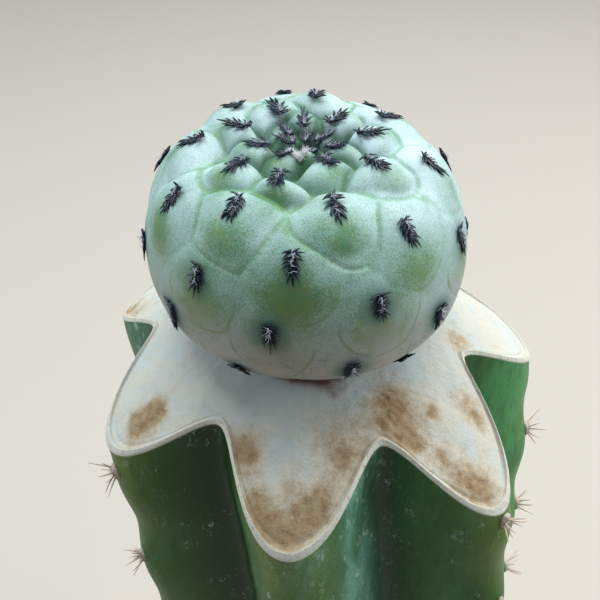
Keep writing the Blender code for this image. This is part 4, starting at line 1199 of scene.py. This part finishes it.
# The scion's spines: a comb of short black spines on every areole, pressed to the flesh and pointing away
# from the crown, out of a narrow strip of felt. The youngest crowd round a tuft of new wool in the crown.
SPINE_LENGTH = 1.75 * MM
SPINE_RADIUS = 0.19 * MM
COMB_PAIRS = 6
COMB_TOP = -0.60                   # where the first pair starts, in spine lengths above the areole's middle
COMB_LOW = 0.28
COMB_TOP_LEAN = math.radians(80)
COMB_LOW_LEAN = math.radians(34)
COMB_REACH = 0.66
COMB_HAIRS = 22
COVERED = 3                        # the young tubercle whose comb the new wool still hides
AREOLE_RADII = (0.54, 0.22, 0.16)  # along, across and out of the flesh, in spine lengths
TUFT_HAIRS = 760
TUFT_RADIUS = 0.80 * MM
TUFT_HAIR_RADIUS = 0.045 * MM
COMB_HAIR_RADIUS = 0.028 * MM
TUFT_PLACE = (-0.4 * MM, -1.6 * MM)  # sideways and backward from the crown's middle
TUFT_CORE = (0.85 * MM, 0.60 * MM, 0.38 * MM)
BLACK = (0.004, 0.008, 0.017)
# painted sheen: the bluish streaks on the black spines
PAINTED_SHEEN_BLUE = (0.022, 0.042, 0.09)
DARK_FELT = (0.02, 0.025, 0.04)
HAIR_WHITE = (0.90, 0.93, 0.96)
HAIR_GREY = (0.66, 0.72, 0.78)
WOOL_WHITE = (0.96, 0.95, 0.95)
WOOL_PINK = (0.93, 0.87, 0.86)


def areole_frames():
    """Place, size and the three directions (down the flesh, across, outwards) of every areole that shows."""
    arc, azimuth, widths = (np.delete(values, COVERED) for values in tubercle_places())
    place = scion_surface(arc, azimuth)
    outward = scion_normals(arc, azimuth)
    down = scion_surface(arc + 0.3 * MM, azimuth) - place
    down = down - outward * (down * outward).sum(axis=1)[:, None]
    down /= np.linalg.norm(down, axis=1)[:, None]
    return place, np.clip(widths / (4.3 * MM), 0.75, 1), down, np.cross(outward, down), outward


def comb_spines(draw):
    """Pairs of spines along each areole, with one at its lower end and three longer ones at its top.

    The pairs lean from sideways at the top to nearly straight down below. Each spine rises from the felt and
    bends back to the flesh with the square of the way along it, and in the young crown it stands steeper.
    """
    place, size, down, across, outward = areole_frames()
    start = np.repeat(np.linspace(COMB_TOP, COMB_LOW, COMB_PAIRS), 2)
    hand = np.tile([1.0, -1.0], COMB_PAIRS)
    lean = np.repeat(np.linspace(COMB_TOP_LEAN, COMB_LOW_LEAN, COMB_PAIRS), 2)
    reach = np.full(2 * COMB_PAIRS, COMB_REACH)
    start = np.concatenate([start, [0.38, -0.66, -0.74, -0.66]])
    hand = np.concatenate([hand, [0.15, 1.0, -1.0, 1.0]])
    lean = np.concatenate([lean, [0.1, 1.75, 1.6, 2.5]])
    reach = np.concatenate([reach, [0.7, 0.62, 0.70, 0.48]])
    many, few = len(size), len(start)
    start = start + draw.normal(0, 0.035, (many, few))
    lean = lean + draw.normal(0, 0.17, (many, few))
    reach = reach * draw.uniform(0.72, 1.15, (many, few))
    scale = (SPINE_LENGTH * size)[:, None]
    young = np.clip(1 - (size[:, None] - 0.75) / 0.2, 0, 1)
    forward, sideways = np.cos(lean), np.sin(lean) * hand
    rise = draw.uniform(0.18, 0.40, (many, few)) + 0.35 * young
    curl = draw.uniform(0.10, 0.35, (many, few))
    settle = rise * draw.uniform(0.6, 1.0, (many, few)) * (1 - 0.6 * young)

    def mixed(on_down, on_across, on_outward):
        """One direction for each spine from its parts along the areole's three."""
        parts = on_down[..., None] * down[:, None] + on_across[..., None] * across[:, None]
        return (parts + on_outward[..., None] * outward[:, None]).reshape(-1, 3)

    roots = place[:, None] + (scale * start)[..., None] * down[:, None]
    roots = roots + (scale * hand * 0.06)[..., None] * across[:, None]
    roots = roots + (scale * 0.05)[..., None] * outward[:, None]
    ways = mixed(forward, sideways, rise)
    bend = mixed(curl, -0.5 * curl * sideways, -settle)
    lengths = (scale * reach).ravel()
    radii = (SPINE_RADIUS * size[:, None] * draw.uniform(0.8, 1.15, (many, few))).ravel()
    return needles("scion_spines", roots.reshape(-1, 3), ways, bend, lengths, radii, 0.7, 6, 8)


def black_spine_finish():
    """Horny black spines with a painted bluish sheen in streaks."""
    finish, tree, shader = start_finish("black_spine")
    # Painted sheen: bluish streaks along the spines.
    sheen_streak = between(tree, speckle(tree, 0.3 * MM, 3, 0.6), 0.45, 0.7)
    feed(tree, shader.inputs["Base Color"], tint(tree, calc(tree, "MULTIPLY", sheen_streak, 0.8), BLACK, PAINTED_SHEEN_BLUE))
    shader.inputs["Roughness"].default_value = 0.24
    shader.inputs["Specular IOR Level"].default_value = 0.4
    return finish


def comb_felt(draw):
    """The areole's own strip of felt: a long low ellipsoid under each comb."""
    place, size, down, across, outward = areole_frames()
    scale = SPINE_LENGTH * size[:, None]
    radii = scale * AREOLE_RADII * draw.uniform(0.9, 1.1, (len(size), 3))
    middle = place - 0.12 * scale * down
    return pebbles("scion_felt", middle, np.stack([down, across, outward], 1), radii, 7, 12, 0.08, draw)


def comb_wool(draw):
    """Short white hairs along the middle of each comb, thicker at its upper end."""
    place, size, down, across, outward = areole_frames()
    each = np.repeat(np.arange(len(size)), COMB_HAIRS)
    scale = SPINE_LENGTH * size[each]
    along = -0.62 + 1.0 * draw.uniform(0, 1, len(each)) ** 2.2
    roots = place[each] + (scale * along)[:, None] * down[each] + (0.17 * scale)[:, None] * outward[each]
    roots = roots + (scale * draw.normal(0, 0.04, len(each)))[:, None] * across[each]
    ways = scattered(0.6 * outward[each] + 0.25 * down[each], across[each], down[each], 0.8, 0.7, draw)
    bend = draw.normal(0, 0.4, (len(each), 3))
    lengths = draw.uniform(0.28, 0.6, len(each)) * size[each] * MM
    return needles("scion_wool", roots, ways, bend, lengths, COMB_HAIR_RADIUS + 0 * lengths, 1, 3, 4)


def crown_tuft(draw):
    """New wool in the sunken crown: a heap of fine bent hairs, denser in its middle."""
    spread = TUFT_RADIUS * draw.uniform(0, 1, TUFT_HAIRS) ** 0.7
    turn = draw.uniform(0, 2 * math.pi, TUFT_HAIRS)
    aside = TUFT_PLACE[0] + spread * np.cos(turn)
    back = TUFT_PLACE[1] + spread * np.sin(turn)
    roots = scion_surface(np.hypot(aside, back), np.arctan2(back, aside))
    outward = np.stack([np.cos(turn), np.sin(turn), 0 * turn], -1)
    upward = np.zeros_like(outward) + (0, 0, 1)
    sideways = np.cross(upward, outward)
    lean = 0.7 * (spread / TUFT_RADIUS)[:, None]
    ways = scattered(upward + lean * outward, sideways, outward, 0.7, 0.5, draw)
    bend = draw.normal(0, 0.45, (TUFT_HAIRS, 3))
    lengths = draw.uniform(0.3, 0.6, TUFT_HAIRS) * MM
    return needles("crown_wool", roots, ways, bend, lengths, TUFT_HAIR_RADIUS + 0 * lengths, 1, 4, 5)


def crown_core(draw):
    """The matted heart of the tuft: one low lump of wool on the flesh, that the hairs stand out of."""
    arc = np.array([math.hypot(*TUFT_PLACE)])
    azimuth = np.array([math.atan2(TUFT_PLACE[1], TUFT_PLACE[0])])
    middle = scion_surface(arc, azimuth)
    return pebbles("crown_felt", middle, np.eye(3)[None], np.array([TUFT_CORE]), 12, 20, 0.08, draw)


comb_draw = np.random.default_rng(46)
add_piece("scion_spines", comb_spines(comb_draw), black_spine_finish(), "scion_skin", "scion")
add_piece(
    "scion_felt", comb_felt(comb_draw), felt_finish("dark_felt", DARK_FELT, BLACK), "scion_skin", "scion")
add_piece(
    "scion_wool", comb_wool(comb_draw), felt_finish("comb_hairs", HAIR_WHITE, HAIR_GREY),
    "scion_skin", "scion")
add_piece(
    "crown_wool", crown_tuft(comb_draw), felt_finish("new_wool", WOOL_WHITE, WOOL_PINK),
    "scion_skin", "scion")
add_piece(
    "crown_felt", crown_core(comb_draw), felt_finish("new_felt", WOOL_WHITE, WOOL_PINK),
    "scion_skin", "scion")
